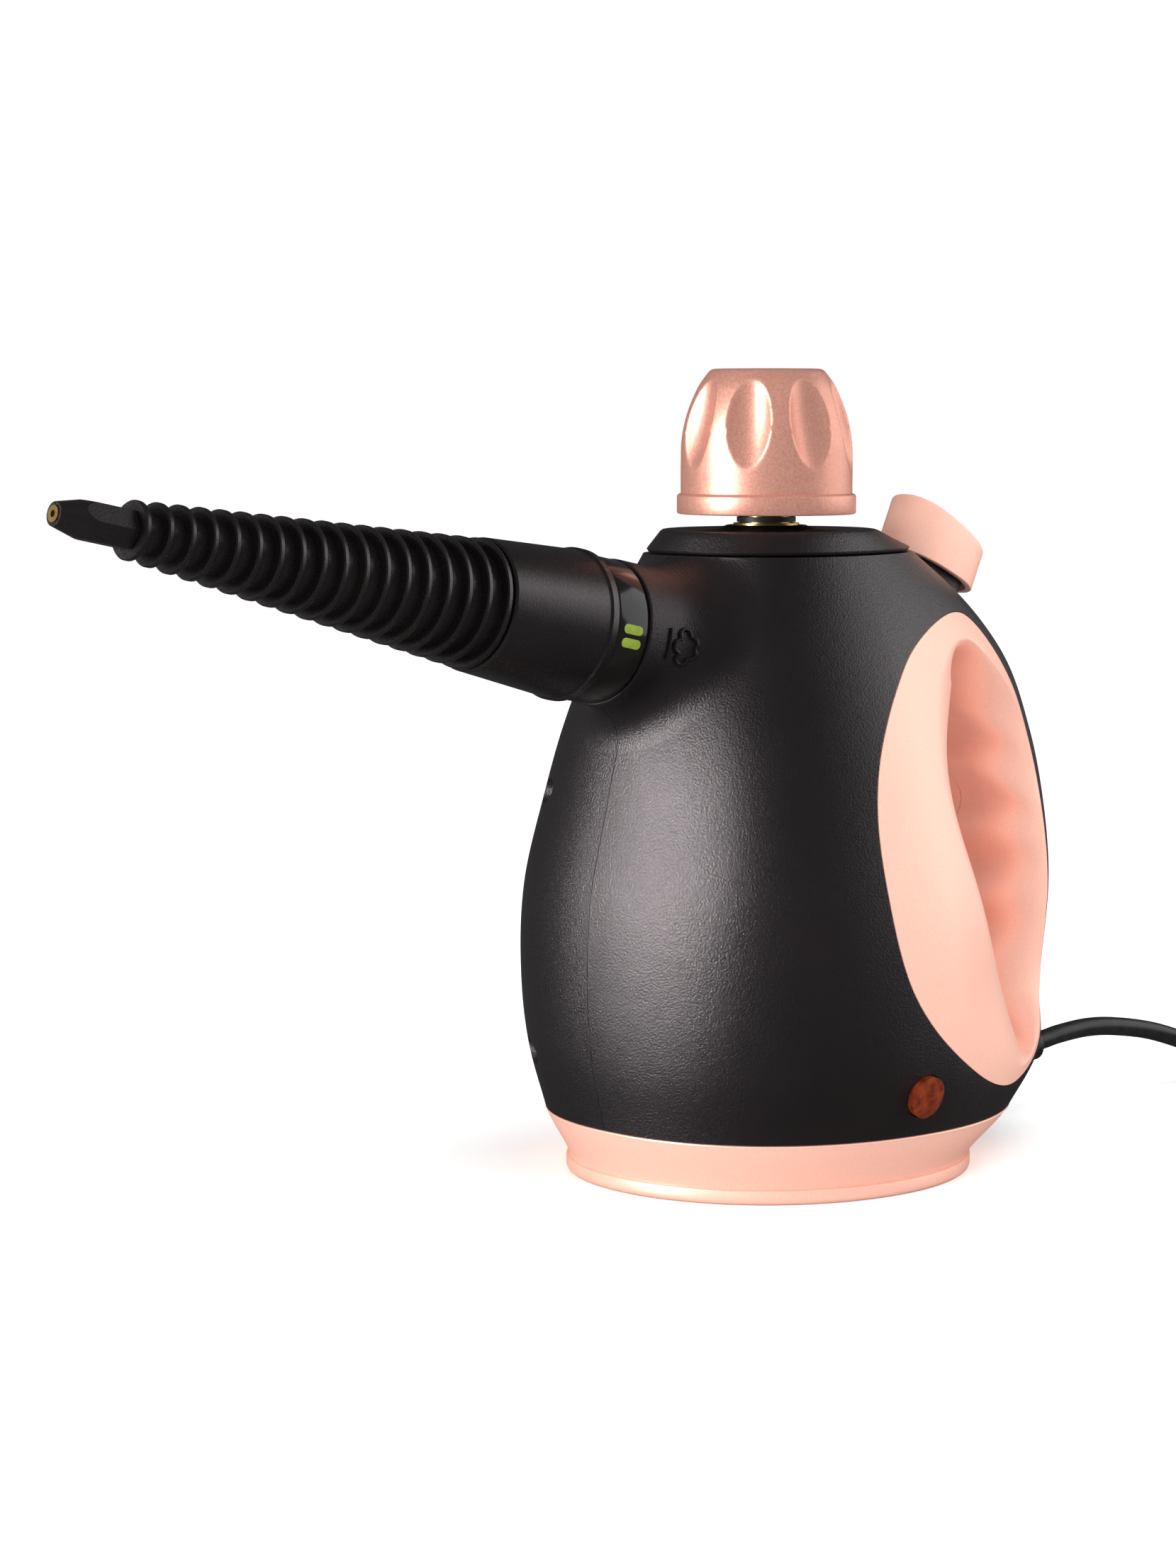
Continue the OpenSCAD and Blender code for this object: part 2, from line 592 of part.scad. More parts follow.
// Collar round the filler neck
module top_collar() {
    grow = collar_h / 3;
    color(black) difference() {
        loft([[for (p = body_ring(z_top, 1.6, 24)) [p[0], p[1], collar_z]],
            [for (p = body_ring(z_top, 1, 24)) [p[0], p[1], collar_z + 1.2]],
            [for (p = section(collar_r, collar_r + 3, collar_r, 0, 1, 2, 24)) [p[0], p[1], collar_top]],
            [for (p = section(collar_r - 2, collar_r - 2, collar_r - 2, 0, 1, 2, 24)) [p[0], p[1],
                collar_top - 0.6]],
            [for (p = section(neck_r + 5, neck_r + 5, neck_r + 5, 0, 1, 2, 24)) [p[0], p[1], collar_top]],
            [for (p = section(neck_r + 2, neck_r + 2, neck_r + 2, 0, 1, 2, 24)) [p[0], p[1],
                collar_top + crown_h - 1]]]);
        translate([0, 0, collar_z - 1]) cylinder(r = neck_r + fit, h = 30);
        translate([0, 0, collar_z - 1]) cylinder(r = neck_r + 3, h = collar_h - 1);
    }
}

// Boiler in two castings with a gasket between
module flange_bolt_holes(low, high) {
    for (i = [0 : bolts - 1]) rotate(360 / bolts * (i + 0.5)) translate([bolt_ring, 0, low])
        cylinder(r = screw_r + run, h = high - low);
}
module boiler_lower() {
    color(alloy) difference() {
        rotate_extrude() polygon([[0, boiler_low], [boiler_r - 4, boiler_low], [boiler_r, boiler_low + 4],
            [boiler_r, flange_z - flange_t], [boiler_r + flange_w, flange_z - flange_t],
            [boiler_r + flange_w, flange_z], [boiler_r - boiler_wall, flange_z],
            [boiler_r - boiler_wall, boiler_low + boiler_wall + 4], [boiler_r - boiler_wall - 4,
                boiler_low + boiler_wall],
            [0, boiler_low + boiler_wall]]);
        flange_bolt_holes(flange_z - 20, flange_z + 1);
    }
}
upper_z = flange_z + gasket_t + 2 * run;
module boiler_upper() {
    color(alloy) difference() {
        rotate_extrude() polygon([[neck_r - 2 + run, boiler_top], [boiler_r - 6, boiler_top],
            [boiler_r, boiler_top - 6],
            [boiler_r, upper_z + flange_t], [boiler_r + flange_w, upper_z + flange_t],
                [boiler_r + flange_w, upper_z],
            [boiler_r - boiler_wall, upper_z], [boiler_r - boiler_wall, boiler_top - boiler_wall - 5],
            [boiler_r - boiler_wall - 5, boiler_top - boiler_wall], [neck_r - 2 + run,
                boiler_top - boiler_wall]]);
        flange_bolt_holes(upper_z - 1, upper_z + 20);
        translate([valve_x, 0, boiler_top - 10]) cylinder(r = valve_stem_r + 1.5, h = 20);
    }
}
module boiler_gasket() {
    color(silicone) difference() {
        ring(boiler_r + flange_w - 0.5, boiler_r - boiler_wall + 0.5, flange_z + run,
            flange_z + run + gasket_t);
        flange_bolt_holes(flange_z - 1, flange_z + 10);
    }
}
module boiler_bolts() {
    color(steel) for (i = [0 : bolts - 1]) rotate(360 / bolts * (i + 0.5)) translate([bolt_ring, 0, 0]) {
        translate([0, 0, flange_z - flange_t - 4]) cylinder(r = screw_r,
            h = upper_z - flange_z + 2 * flange_t + 4 + run);
        translate([0, 0, upper_z + flange_t + run]) cylinder(r = flange_w / 2 - fit, h = 2.4, $fn = 6);
    }
}
module filler_neck() {
    color(brass) rotate_extrude() polygon([[neck_bore, boiler_top - boiler_wall - 2], [neck_r - 2,
        boiler_top - boiler_wall - 2],
        [neck_r - 2, boiler_top + run], [neck_r + 2, boiler_top + run], [neck_r + 2, boiler_top + 3],
        [neck_r, boiler_top + 4], [neck_r, rim_z], [neck_bore + 0.6, rim_z], [neck_bore, rim_z - 0.6]]);
}

// Heating and safety parts under the boiler
heat_r = 20;
heat_t = 3.6;
module heating_element() {
    color(steel) translate([0, 0, boiler_low - heat_t - seam]) {
        rotate(20) rotate_extrude(angle = 320) translate([heat_r, 0]) circle(heat_t);
        for (a = [-20, 20]) rotate(a) translate([heat_r, 0, -heat_t - 7]) cylinder(r = 1.8, h = 8);
    }
}
module thermostat() {
    color(black) translate([0, 0, boiler_low - seam]) {
        translate([0, 0, -2]) cylinder(r = 10, h = 2);
        translate([0, 0, -9]) cylinder(r = 8, h = 8);
        for (s = [-1, 1]) translate([-3, s * 5 - 0.4, -15]) cube([6, 0.8, 7]);
    }
}
module thermal_fuse() {
    color("white") translate([-13.5, 0, boiler_low - 2 - seam]) rotate([90, 0, 0]) cylinder(r = 2,
        h = 12, center = true);
}
terminal_at = [17 - foot_back, 0, floor_t + seam];
module terminal_block() {
    color("ivory") translate(terminal_at) difference() {
        translate([-9, -14, 0]) cube([18, 28, 12]);
        for (y = [-9, 0, 9]) {
            translate([-20, y, 6]) rotate([0, 90, 0]) cylinder(r = 1.9, h = 40);
            translate([0, y, 6]) cylinder(r = 1.6, h = 10);
        }
    }
}
module wiring() {
    low = boiler_low - 2 * heat_t - 7 - 2 * seam;
    start = terminal_at + [9 + seam, 0, 6];
    color("#7a2f25") for (s = [-1, 1]) {
        pin = [heat_r * cos(20), s * heat_r * sin(20), low];
        tube(smooth_path([start + [0, 9 * s, 0], start + [6, 9 * s, 0], [-16, s * 15, 10],
            [pin[0] - 10, pin[1] + s * 4, low - 5], [pin[0] - 3, pin[1], low - 2], [pin[0], pin[1],
                low - 1.3]], 3), 1.2, 6);
    }
}

// Steam valve on the boiler, opened by the lever
valve_x = pivot[0] + lever_reach;
valve_stem_r = 1.6;
valve_nut_z = boiler_top + 17;
nose_r = 2;
nose_z = z_top - 18.5;
head_z = nose_z + nose_r + fit;
module valve_body() {
    color(brass) translate([valve_x, 0, 0]) difference() {
        union() {
            translate([0, 0, boiler_top + run]) cylinder(r = 7, h = 3);
            translate([0, 0, boiler_top + 3]) cylinder(r = 5.6, h = 14);
            translate([0, 0, boiler_top + 16]) cylinder(r = 6.4, h = 5, $fn = 6);
            translate([0, 0, boiler_top + 10]) rotate([-90, 0, 0]) cylinder(r = 3.2, h = 9);
        }
        translate([0, 0, boiler_top - 1]) cylinder(r = valve_stem_r + run, h = 40);
        translate([0, 0, boiler_top + 10]) rotate([-90, 0, 0]) cylinder(r = 1.6, h = 20);
    }
}
module valve_stem() {
    color(steel) translate([valve_x, 0, 0]) {
        translate([0, 0, boiler_top - boiler_wall - 6]) cylinder(r = valve_stem_r,
            h = head_z - boiler_top + boiler_wall + 6);
        translate([0, 0, head_z]) cylinder(r = 5.2, h = 2);
    }
}
module steam_tube() {
    start = [valve_x, 9 + seam, boiler_top + 10];
    end = nozzle_point(spigot_back - seam);
    back = nozzle_point(spigot_back - seam - 3);
    color(silicone) tube(concat([start], smooth_path([start + [0, 2.5, 0], start + [1.5, 7, 0],
        [valve_x + 9, neck_r + 11, boiler_top + 10.5], [0, neck_r + 12, mix(start[2], end[2], 0.3)],
        [end[0] - 19, 13, mix(start[2], end[2], 0.6)], [end[0] - 10, 3.5, mix(start[2], end[2],
            0.84)], back], 3),
        [end]), 3, 8);
}
function nozzle_point(s) = [s * cos(nozzle_tilt), 0, nozzle_z + s * sin(nozzle_tilt)];

// Trigger: frame at the front lower edge of the button, X down its length
module trigger_place() translate([-top_back + 0.4, 0, z_top + 0.7]) rotate([0, btn_tilt, 180]) children();
lever_t = 6.4;
guide_w = btn_w - 2 * btn_wall - 1.6;
guide_x = btn_wall + 2.4;
guide_len = btn_len - 2 * btn_wall - 5;
module guide_prism(grow) {
    translate([guide_x - grow, 0, -13]) linear_extrude(40) stadium(guide_len + 2 * grow,
        guide_w + 2 * grow);
}
module trigger_guide() {
    color(black) trigger_place() difference() {
        intersection() {
            guide_prism(0);
            translate([0, -20, -13]) cube([60, 40, 15]);
        }
        translate([-1, -lever_t / 2 - 1, -30]) cube([guide_len - 2, lever_t + 2, 60]);
        translate([guide_len - 1.4, 0, -10]) cylinder(r = 4.4, h = 40);
        across(pivot_in[0], pivot_in[1]) cylinder(r = pin_r + run, h = 60, center = true);
    }
}
module trigger_pin() {
    color(steel) across(pivot[0], pivot[1]) cylinder(r = pin_r, h = 0.7 * guide_w, center = true);
}
module trigger_button() {
    color(rose) trigger_place() difference() {
        union() {
            linear_extrude(btn_h - 1.2) oval(btn_len, btn_w);
            translate([1.2, 0, btn_h - 1.3]) linear_extrude(1.3) oval(btn_len - 2.4, btn_w - 2.4);
        }
        translate([btn_wall, 0, -1]) linear_extrude(btn_h + 1 - btn_wall)
            oval(btn_len - 2 * btn_wall, btn_w - 2 * btn_wall);
    }
}
function trigger_xz(p) = [-top_back + 0.4 - p[0] * cos(btn_tilt) - p[1] * sin(btn_tilt),
    z_top + 0.7 - p[0] * sin(btn_tilt) + p[1] * cos(btn_tilt)];
module trigger_lever() {
    nose = [valve_x, nose_z];
    nose_reach = 11;
    nose_w = 11;
    neck = nose - [nose_reach, 0];
    top = btn_h - btn_wall - seam - 1.5;
    foot = trigger_xz([pivot_in[0] + 8, top - 1.4]);
    color("#2b2a2c") difference() {
        union() {
            across(0, 0) linear_extrude(lever_t, center = true) difference() {
                union() {
                    translate(pivot) circle(4);
                    link(pivot, neck, 2.6);
                    link(pivot, foot, 2.6);
                    link(trigger_xz([pivot_in[0] + 4, top]), trigger_xz([pivot_in[0] + 12, top]), 1.5);
                }
                translate(pivot) circle(pin_r + run);
            }
            across(0, 0) linear_extrude(nose_w, center = true) link(neck, nose, nose_r);
        }
        translate([nose[0] - 5, -valve_stem_r - 0.6, nose[1] - 10]) cube([20,
            2 * valve_stem_r + 1.2, 20]);
    }
}
module trigger_spring() {
    color(steel) trigger_place() translate([guide_len - 1.4, 0, 0])
        tube(helix(3, -9.4, btn_h - btn_wall - seam - 0.5, 6), 0.45, 6);
}

// Outlet: spigot through the neck, ring and nozzle
seat_r = 17;
inlet_back = 34;
inlet_len = 20;
ring_low = neck_end + fit;
sleeve_low = ring_low + ring_len + fit;
spigot_back = neck_end - inlet_back;
spigot_end = sleeve_low + spigot_len;
lug = [2.2, 5, 18];
module outlet_spigot() {
    color(black) on_nozzle() difference() {
        union() {
            translate([0, 0, spigot_back]) cylinder(r = 4.2, h = inlet_len);
            translate([0, 0, neck_end - 20]) cylinder(r = seat_r,
                h = ring_low + ring_len - neck_end + 20 - seam);
            translate([0, 0, neck_end - 16 + fit]) cylinder(r = seat_r + 2 - fit, h = 4 - 2 * fit);
            translate([0, 0, neck_end]) cylinder(r = spigot_r, h = spigot_end - neck_end - 1);
            translate([0, 0, spigot_end - 1]) cylinder(r1 = spigot_r, r2 = spigot_r - 1, h = 1);
            for (a = [0, 180]) rotate(a - lug[2] / 2) translate([0, 0, sleeve_low + 2])
                rotate_extrude(angle = lug[2]) translate([spigot_r - 1, 0]) square([lug[0] + 1, lug[1]]);
        }
        translate([0, 0, spigot_back - 1]) cylinder(r = bore_r, h = 200);
    }
}
mark_at = 86;
mark_step = 5.4;
mark_deg = 8.4;
module lock_ring() {
    color("#0d0d0e") on_nozzle() difference() {
        rotate_extrude() polygon([[seat_r + fit, ring_low], [ring_r - 0.8, ring_low], [ring_r,
            ring_low + 0.8],
            [ring_r, ring_low + ring_len - 0.8], [ring_r - 0.8, ring_low + ring_len],
                [seat_r + fit, ring_low + ring_len]]);
        for (a = [-1, 1]) rotate(mark_at + a * mark_step - mark_deg / 2) translate([0, 0,
            ring_low + ring_len / 2 - 3.3])
            rotate_extrude(angle = mark_deg) translate([ring_r - 0.6, 0]) square([2, 6.6]);
    }
}
module lock_marks() {
    color("#9fae2e") on_nozzle() for (a = [-1, 1]) rotate(mark_at + a * mark_step - mark_deg / 2 + 0.3)
        translate([0, 0, ring_low + ring_len / 2 - 3.2])
            rotate_extrude(angle = mark_deg - 0.6) translate([ring_r - 0.6 + run, 0]) square([0.7, 6.4]);
}
seal_z = sleeve_low + 12;
seal_r = 1.1;
module nozzle_seal() {
    color(silicone) on_nozzle(seal_z) rotate_extrude() translate([spigot_r + fit + seal_r,
        0]) circle(seal_r);
}

// Ribbed nozzle, turned as one profile from the sleeve to the last rib
rib_low = sleeve_low + sleeve_len + 0.8;
rib_high = rib_low + rib_pitch * (ribs - 1) + rib_t;
function rib_at(i) = rib_low + rib_pitch * i;
function rib_radius(i) = mix(rib_r, rib_end_r, i / (ribs - 1));
core_in = 3;
function rib_profile() = [for (i = [0 : ribs - 1])
    each [[rib_radius(i) - core_in, rib_at(i)], [rib_radius(i) - 0.3, rib_at(i)], [rib_radius(i),
        rib_at(i) + 0.4],
        [rib_radius(i), rib_at(i) + rib_t - 0.4], [rib_radius(i) - 0.3, rib_at(i) + rib_t],
        [rib_radius(i) - core_in, rib_at(i) + rib_t]]];
module ribbed_nozzle() {
    socket = spigot_r + fit;
    color(black) on_nozzle() difference() {
        rotate_extrude() polygon(concat(
            [[socket, sleeve_low], [sleeve_r - 0.6, sleeve_low], [sleeve_r, sleeve_low + 0.6],
                [sleeve_r, sleeve_low + 2.6],
                [sleeve_r - 0.5, sleeve_low + 3], [mix(sleeve_r, sleeve_end_r, 0.1) - 0.3,
                    sleeve_low + 3.4],
                [sleeve_end_r, sleeve_low + sleeve_len - 0.6], [sleeve_end_r - 0.6,
                    sleeve_low + sleeve_len],
                [rib_r - core_in, sleeve_low + sleeve_len]],
            rib_profile(),
            [[tip_af / 2 - 1.2 + fit, rib_high], [tip_af / 2 - 1.2 + fit, rib_high - 8], [bore_r,
                rib_high - 8],
                [bore_r, spigot_end + fit], [socket, spigot_end + fit]]));
        translate([0, 0, seal_z - seal_r - fit]) cylinder(r = spigot_r + 2 * seal_r + 2 * fit,
            h = 2 * seal_r + 2 * fit);
        for (a = [0, 180]) rotate(a - lug[2] / 2 - 2 - twist) translate([0, 0, sleeve_low - 1])
            rotate_extrude(angle = lug[2] + 4 + twist) translate([spigot_r - 1,
                0]) square([lug[0] + 1 + fit, lug[1] + 3.5]);
    }
}
tip_low = rib_high + seam;
tip_high = tip_low + tip_len;
module nozzle_tip() {
    color(black) on_nozzle() difference() {
        union() {
            intersection() {
                translate([0, 0, tip_low]) rotate(30) cylinder(d = tip_af / cos(30), h = tip_len,
                    $fn = 6);
                rotate_extrude() polygon([[0, tip_low], [tip_af * 0.58, tip_low], [tip_af * 0.58,
                    tip_high - 0.45 * tip_len],
                    [tip_end_r, tip_high], [0, tip_high]]);
            }
            translate([0, 0, rib_high - 7.5]) cylinder(r = tip_af / 2 - 1.2, h = 9);
        }
        translate([0, 0, rib_high - 9]) cylinder(r = bore_r - 0.5, h = tip_len + 20);
        translate([0, 0, tip_high - 8]) cylinder(r = jet_r + run, h = 20);
    }
}
module jet_insert() {
    color(brass) on_nozzle() ring(jet_r, hole_r, tip_high - 8 + run, tip_high + 0.4);
}

// Cap: knob over a brass plug, coupled by pegs when it is pressed
disc_z = cap_z + 7;
disc_t = 3;
disc_r = 17;
peg_ring = 13.5;
peg_top = disc_z + disc_t + cap_press + 3;
knob_in = cap_r - 2.4;
function cap_profile() = [[knob_in, cap_z], [cap_r - 0.5, cap_z], [cap_r, cap_z + 0.5], [cap_r,
    cap_z + 5.4],
    [cap_r - 0.5, cap_z + 5.9], [cap_r - 1.1, cap_z + 6], [cap_r - 1.1, cap_z + 15], [cap_r - 1.3,
        cap_z + 21.2],
    [cap_r - 2.4, cap_z + 27.4], [cap_r - 4.6, cap_z + 0.8 * cap_h], [mix(cap_r - 4.6, cap_top_r,
        0.45), cap_z + 0.91 * cap_h],
    [cap_top_r + 1, cap_z + cap_h - 1.2], [cap_top_r + 0.2, cap_z + cap_h - 0.4], [cap_top_r - 0.8,
        cap_z + cap_h]];
module flute_cutter() {
    half = 0.74 * cap_h;
    big = (half * half + flute_r * flute_r) / (2 * flute_r);
    rotate_extrude() intersection() {
        translate([flute_r - big, 0]) circle(big, $fn = 180);
        translate([0, -half]) square([flute_r + 1, 2 * half]);
    }
}
module cap_knob() {
    color(rose) difference() {
        rotate_extrude() polygon(concat(cap_profile(), [[0, cap_z + cap_h], [0, cap_z + cap_h - 4],
            [10, cap_z + cap_h - 4],
            [cap_top_r - 1, cap_z + cap_h - 6], [disc_r - 2, peg_top + fit], [disc_r + fit,
                peg_top + fit],
            [disc_r + fit, disc_z - 1.5], [knob_in, disc_z - 1.5]]));
        for (i = [0 : flutes - 1]) rotate(360 / flutes * i + 33)
            translate([cap_r - 2.2 - flute_d + flute_r, 0, cap_z + 0.62 * cap_h]) rotate([0, -14,
                0]) flute_cutter();
    }
}
module cap_retainer() {
    color(black) difference() {
        ring(knob_in - seam, neck_r + 2.6, disc_z - 4.6, disc_z - 1.5 - seam);
        for (i = [0 : 3]) rotate(90 * i) translate([neck_r + 8, 0, disc_z - 10]) cylinder(r = 1.6,
            h = 20);
    }
}
module cap_plug() {
    color(brass) difference() {
        union() {
            translate([0, 0, rim_z - plug_len]) cylinder(r = neck_bore - fit,
                h = plug_len + seal_t + fit + 1);
            translate([0, 0, rim_z + seal_t + fit]) cylinder(r = neck_bore + 1.4,
                h = disc_z - rim_z - seal_t);
            translate([0, 0, disc_z]) cylinder(r = disc_r, h = disc_t);
        }
        for (i = [0 : 5]) rotate(60 * i) translate([peg_ring, 0, disc_z - 1]) cylinder(r = 2.3,
            h = disc_t + 2);
        translate([0, 0, rim_z - plug_len - 1]) cylinder(r = 2, h = plug_len + 4);
    }
}
module cap_pegs() {
    color(black) {
        ring(disc_r, 10.5, peg_top - 2, peg_top);
        for (i = [0 : 5]) rotate(60 * i) translate([peg_ring, 0, disc_z + disc_t + 0.5])
            cylinder(r = 1.8, h = peg_top - disc_z - disc_t - 1.5);
    }
}
module cap_gasket() {
    color(silicone) ring(neck_bore + 1.2, neck_bore, rim_z + fit, rim_z + seal_t);
}
module cap_spring() {
    color(steel) tube(helix(7, disc_z + disc_t + 0.8, cap_z + cap_h - 4.8, 6), 0.6, 6);
}

// Indicator: lens in the left half and the lamp behind it
module lens_place() translate([2, half_at(lens_z), lens_z]) rotate([-90 - 14, 0, 0]) children();
module indicator_lens() {
    color("#a8481c") lens_place() {
        translate([0, 0, -5]) cylinder(r = lens_r, h = 5);
        intersection() {
            translate([0, 0, -18]) sphere(r = 20);
            cylinder(r = lens_r, h = 4);
        }
    }
}
module indicator_lamp() {
    color("orange") lens_place() {
        translate([0, 0, -5 - seam - 11]) cylinder(r = 3, h = 11);
        translate([0, 0, -19]) cylinder(r = 5, h = 5);
    }
}

// Strain relief, cord, coil and plug
module gland_place() translate([-base_back - 1, 0, gland_z]) rotate([0, -90 + gland_tilt, 0]) children();
gland_end = [-base_back - 1 - (gland_len - 2) * cos(gland_tilt), 0,
    gland_z + (gland_len - 2) * sin(gland_tilt)];
module strain_relief() {
    color(black) gland_place() difference() {
        union() {
            translate([0, 0, -2]) cylinder(r = gland_r, h = gland_len - 1);
            translate([0, 0, gland_len - 3]) cylinder(r1 = gland_r, r2 = gland_r - 0.8, h = 1);
            translate([0, 0, -8]) cylinder(r = gland_r - 1.2, h = 7);
        }
        translate([0, 0, -20]) cylinder(r = cord_d / 2 - 0.8, h = 100);
    }
}
cord_r = cord_d / 2;
floor_gap = 0.2;
coil_step = cord_d + 0.7;
coil_mid = 36;
coil_out = coil_mid + coil_step * loops / 2;
coil_lane = 3;
coil_at = [-268, coil_lane + coil_out, cord_r + floor_gap];
layers = 4;
free_points = [[-132, 0, 24.2], [-145, 0, 24.8], [-158, 0.5, 23.8], [-176, 1.4, 20.4], [-196, 2.4, 14],
    [-214, 3, 7.6], [-230, 3, 3.8]];
plug_r = 18.4;
// Radius and height along the coil, in turns: in, out, in, out, with a climb at each reversal
function coil_turn(u) = let (l = floor(min(u / loops, layers - 0.001)), f = u / loops - l)
    coil_mid + coil_step * loops * (l % 2 == 0 ? 0.5 - f : f - 0.5);
function coil_height(u) = coil_step
    * (smooth(2 * (u - loops) + 0.5) + smooth(2 * (u - 2 * loops) + 0.5)
        + smooth(2 * (u - 3 * loops) + 0.5));
function coil_in(u) = [coil_turn(u) * cos(360 * u + 90), -coil_turn(u) * sin(360 * u + 90),
    coil_height(u)];
coil_rings = 24;
coil_path = [for (i = [0 : coil_rings * loops * layers]) coil_at + coil_in(i / coil_rings)];
coil_lead = [-1, 0, 0];
tail_drop = coil_at[2] + coil_step * (layers - 1) - plug_r - floor_gap;
coil_tail = [for (k = [1 : 7]) coil_path[len(coil_path) - 1] + coil_lead * (9 * k) - [0, 0,
    tail_drop * smooth(k / 6)]];
module power_cord() {
    way = [-cos(gland_tilt), 0, sin(gland_tilt)];
    p = concat([gland_end + way * seam, gland_end + way * cord_d], free_points,
        [coil_path[0] - coil_lead * (cord_d * 3), coil_path[0] - coil_lead * (cord_d + seam)]);
    color(black) tube(smooth_path(p, 3), cord_r, 10);
}
module cord_coil() {
    n = len(coil_path);
    gap = min([for (i = [0 : n - 1], j = [i + 8 : 1 : n - 1]) norm(coil_path[i] - coil_path[j])]);
    echo(str("Least gap between the loops: ", gap - cord_d, " mm"));
    color(black) tube(concat([coil_path[0] - coil_lead * cord_d], coil_path, coil_tail), cord_r, 6);
}
module plug_place() translate(coil_tail[len(coil_tail) - 1] + coil_lead * seam) rotate([0, -90,
    0]) children();
module mains_plug() {
    color(black) plug_place() difference() {
        union() {
            cylinder(r1 = 5, r2 = 7, h = 16);
            translate([0, 0, 16]) rotate_extrude() polygon([[0, 0], [7, 0], [12, 6], [plug_r - 1,
                12], [plug_r, 14],
                [plug_r, 30], [plug_r - 1, 31], [0, 31]]);
        }
        for (s = [-1, 1]) translate([0, s * 9.5, 40]) cylinder(r = 2.4 + run, h = 20);
    }
}
module plug_pins() {
    color(steel) plug_place() for (s = [-1, 1]) translate([0, s * 9.5, 40 + run]) {
        cylinder(r = 2.4, h = 24);
        translate([0, 0, 24]) cylinder(r1 = 2.4, r2 = 1.4, h = 1.5);
    }
}

left_housing();
right_housing();
left_grip_panel();
right_grip_panel();
base_cover();
base_screws();
housing_screws();
top_collar();
boiler_lower();
boiler_upper();
boiler_gasket();
boiler_bolts();
filler_neck();
heating_element();
thermostat();
thermal_fuse();
terminal_block();
wiring();
valve_body();
valve_stem();
steam_tube();
trigger_guide();
trigger_pin();
trigger_button();
trigger_lever();
trigger_spring();
outlet_spigot();
lock_ring();
lock_marks();
nozzle_seal();
ribbed_nozzle();
nozzle_tip();
jet_insert();
cap_knob();
cap_retainer();
cap_pegs();
cap_plug();
cap_gasket();
cap_spring();
indicator_lens();
indicator_lamp();
strain_relief();
power_cord();
cord_coil();
mains_plug();
plug_pins();
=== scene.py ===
import math
import bmesh
import bpy
import numpy as np
from mathutils import Matrix, Vector


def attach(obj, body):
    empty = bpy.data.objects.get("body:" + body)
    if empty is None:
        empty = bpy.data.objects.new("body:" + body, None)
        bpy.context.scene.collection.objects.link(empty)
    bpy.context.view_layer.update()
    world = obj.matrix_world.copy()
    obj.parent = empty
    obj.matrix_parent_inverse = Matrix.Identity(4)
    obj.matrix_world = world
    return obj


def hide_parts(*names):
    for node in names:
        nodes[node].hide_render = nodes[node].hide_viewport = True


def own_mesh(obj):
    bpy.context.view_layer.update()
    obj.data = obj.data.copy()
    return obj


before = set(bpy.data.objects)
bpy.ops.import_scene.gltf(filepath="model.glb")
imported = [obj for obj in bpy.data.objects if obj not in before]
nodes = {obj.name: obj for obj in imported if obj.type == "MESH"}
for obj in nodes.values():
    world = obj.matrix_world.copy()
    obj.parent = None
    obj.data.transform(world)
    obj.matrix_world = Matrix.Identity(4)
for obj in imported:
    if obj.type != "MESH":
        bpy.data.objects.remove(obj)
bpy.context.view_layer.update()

millimetre = 0.001


def linked(name, data):
    made = bpy.data.objects.new(name, data)
    bpy.context.scene.collection.objects.link(made)
    return made


# camera, as fitted to the photograph
cameraSet = {"place": (0.7584, 0.7739, 0.2237), "look": (-0.6614, -0.7431, -0.1014),
             "lens": 85.04, "sensor": 36}
cameraData = bpy.data.cameras.new("photoCamera")
cameraData.sensor_fit = "VERTICAL"
cameraData.sensor_height = cameraSet["sensor"]
cameraData.lens = cameraSet["lens"]
camera = linked("photoCamera", cameraData)
camera.location = cameraSet["place"]
camera.rotation_euler = Vector(cameraSet["look"]).to_track_quat("-Z", "Y").to_euler()
bpy.context.scene.camera = camera
print("camera set")


# small tools
def clearSelection():
    bpy.ops.object.select_all(action="DESELECT")


def selectOnly(piece):
    clearSelection()
    piece.select_set(True)
    bpy.context.view_layer.objects.active = piece


def mixed(a, b, t):
    return a + (b - a) * t


def smooth(t):
    c = min(max(t, 0.0), 1.0)
    return c * c * (3 - 2 * c)


def signedPower(value, power):
    return math.copysign(abs(value) ** power, value)


def turnsOf(count):
    return [2 * math.pi * i / count for i in range(count)]


# halves a range down to where the test stops holding
def lastHolding(low, high, holds, steps):
    for step in range(steps):
        mid = (low + high) / 2
        if holds(mid):
            low = mid
        else:
            high = mid
    return low


def slopeOf(keys, i):
    return (keys[i + 1][1] - keys[i][1]) / (keys[i + 1][0] - keys[i][0])


def tangentAt(keys, i):
    last = len(keys) - 1
    if i == 0 or i == last:
        return slopeOf(keys, 0 if i == 0 else last - 1)
    a = keys[i][0] - keys[i - 1][0]
    b = keys[i + 1][0] - keys[i][0]
    return (slopeOf(keys, i - 1) * b + slopeOf(keys, i) * a) / (a + b)


# smooth curve through pairs of place and value
def curveAt(keys, t):
    c = min(max(t, keys[0][0]), keys[-1][0])
    i = next(j for j in range(len(keys) - 1) if c <= keys[j + 1][0])
    h = keys[i + 1][0] - keys[i][0]
    s = (c - keys[i][0]) / h
    return ((2 * s ** 3 - 3 * s ** 2 + 1) * keys[i][1]
            + (s ** 3 - 2 * s ** 2 + s) * h * tangentAt(keys, i)
            + (3 * s ** 2 - 2 * s ** 3) * keys[i + 1][1]
            + (s ** 3 - s ** 2) * h * tangentAt(keys, i + 1))


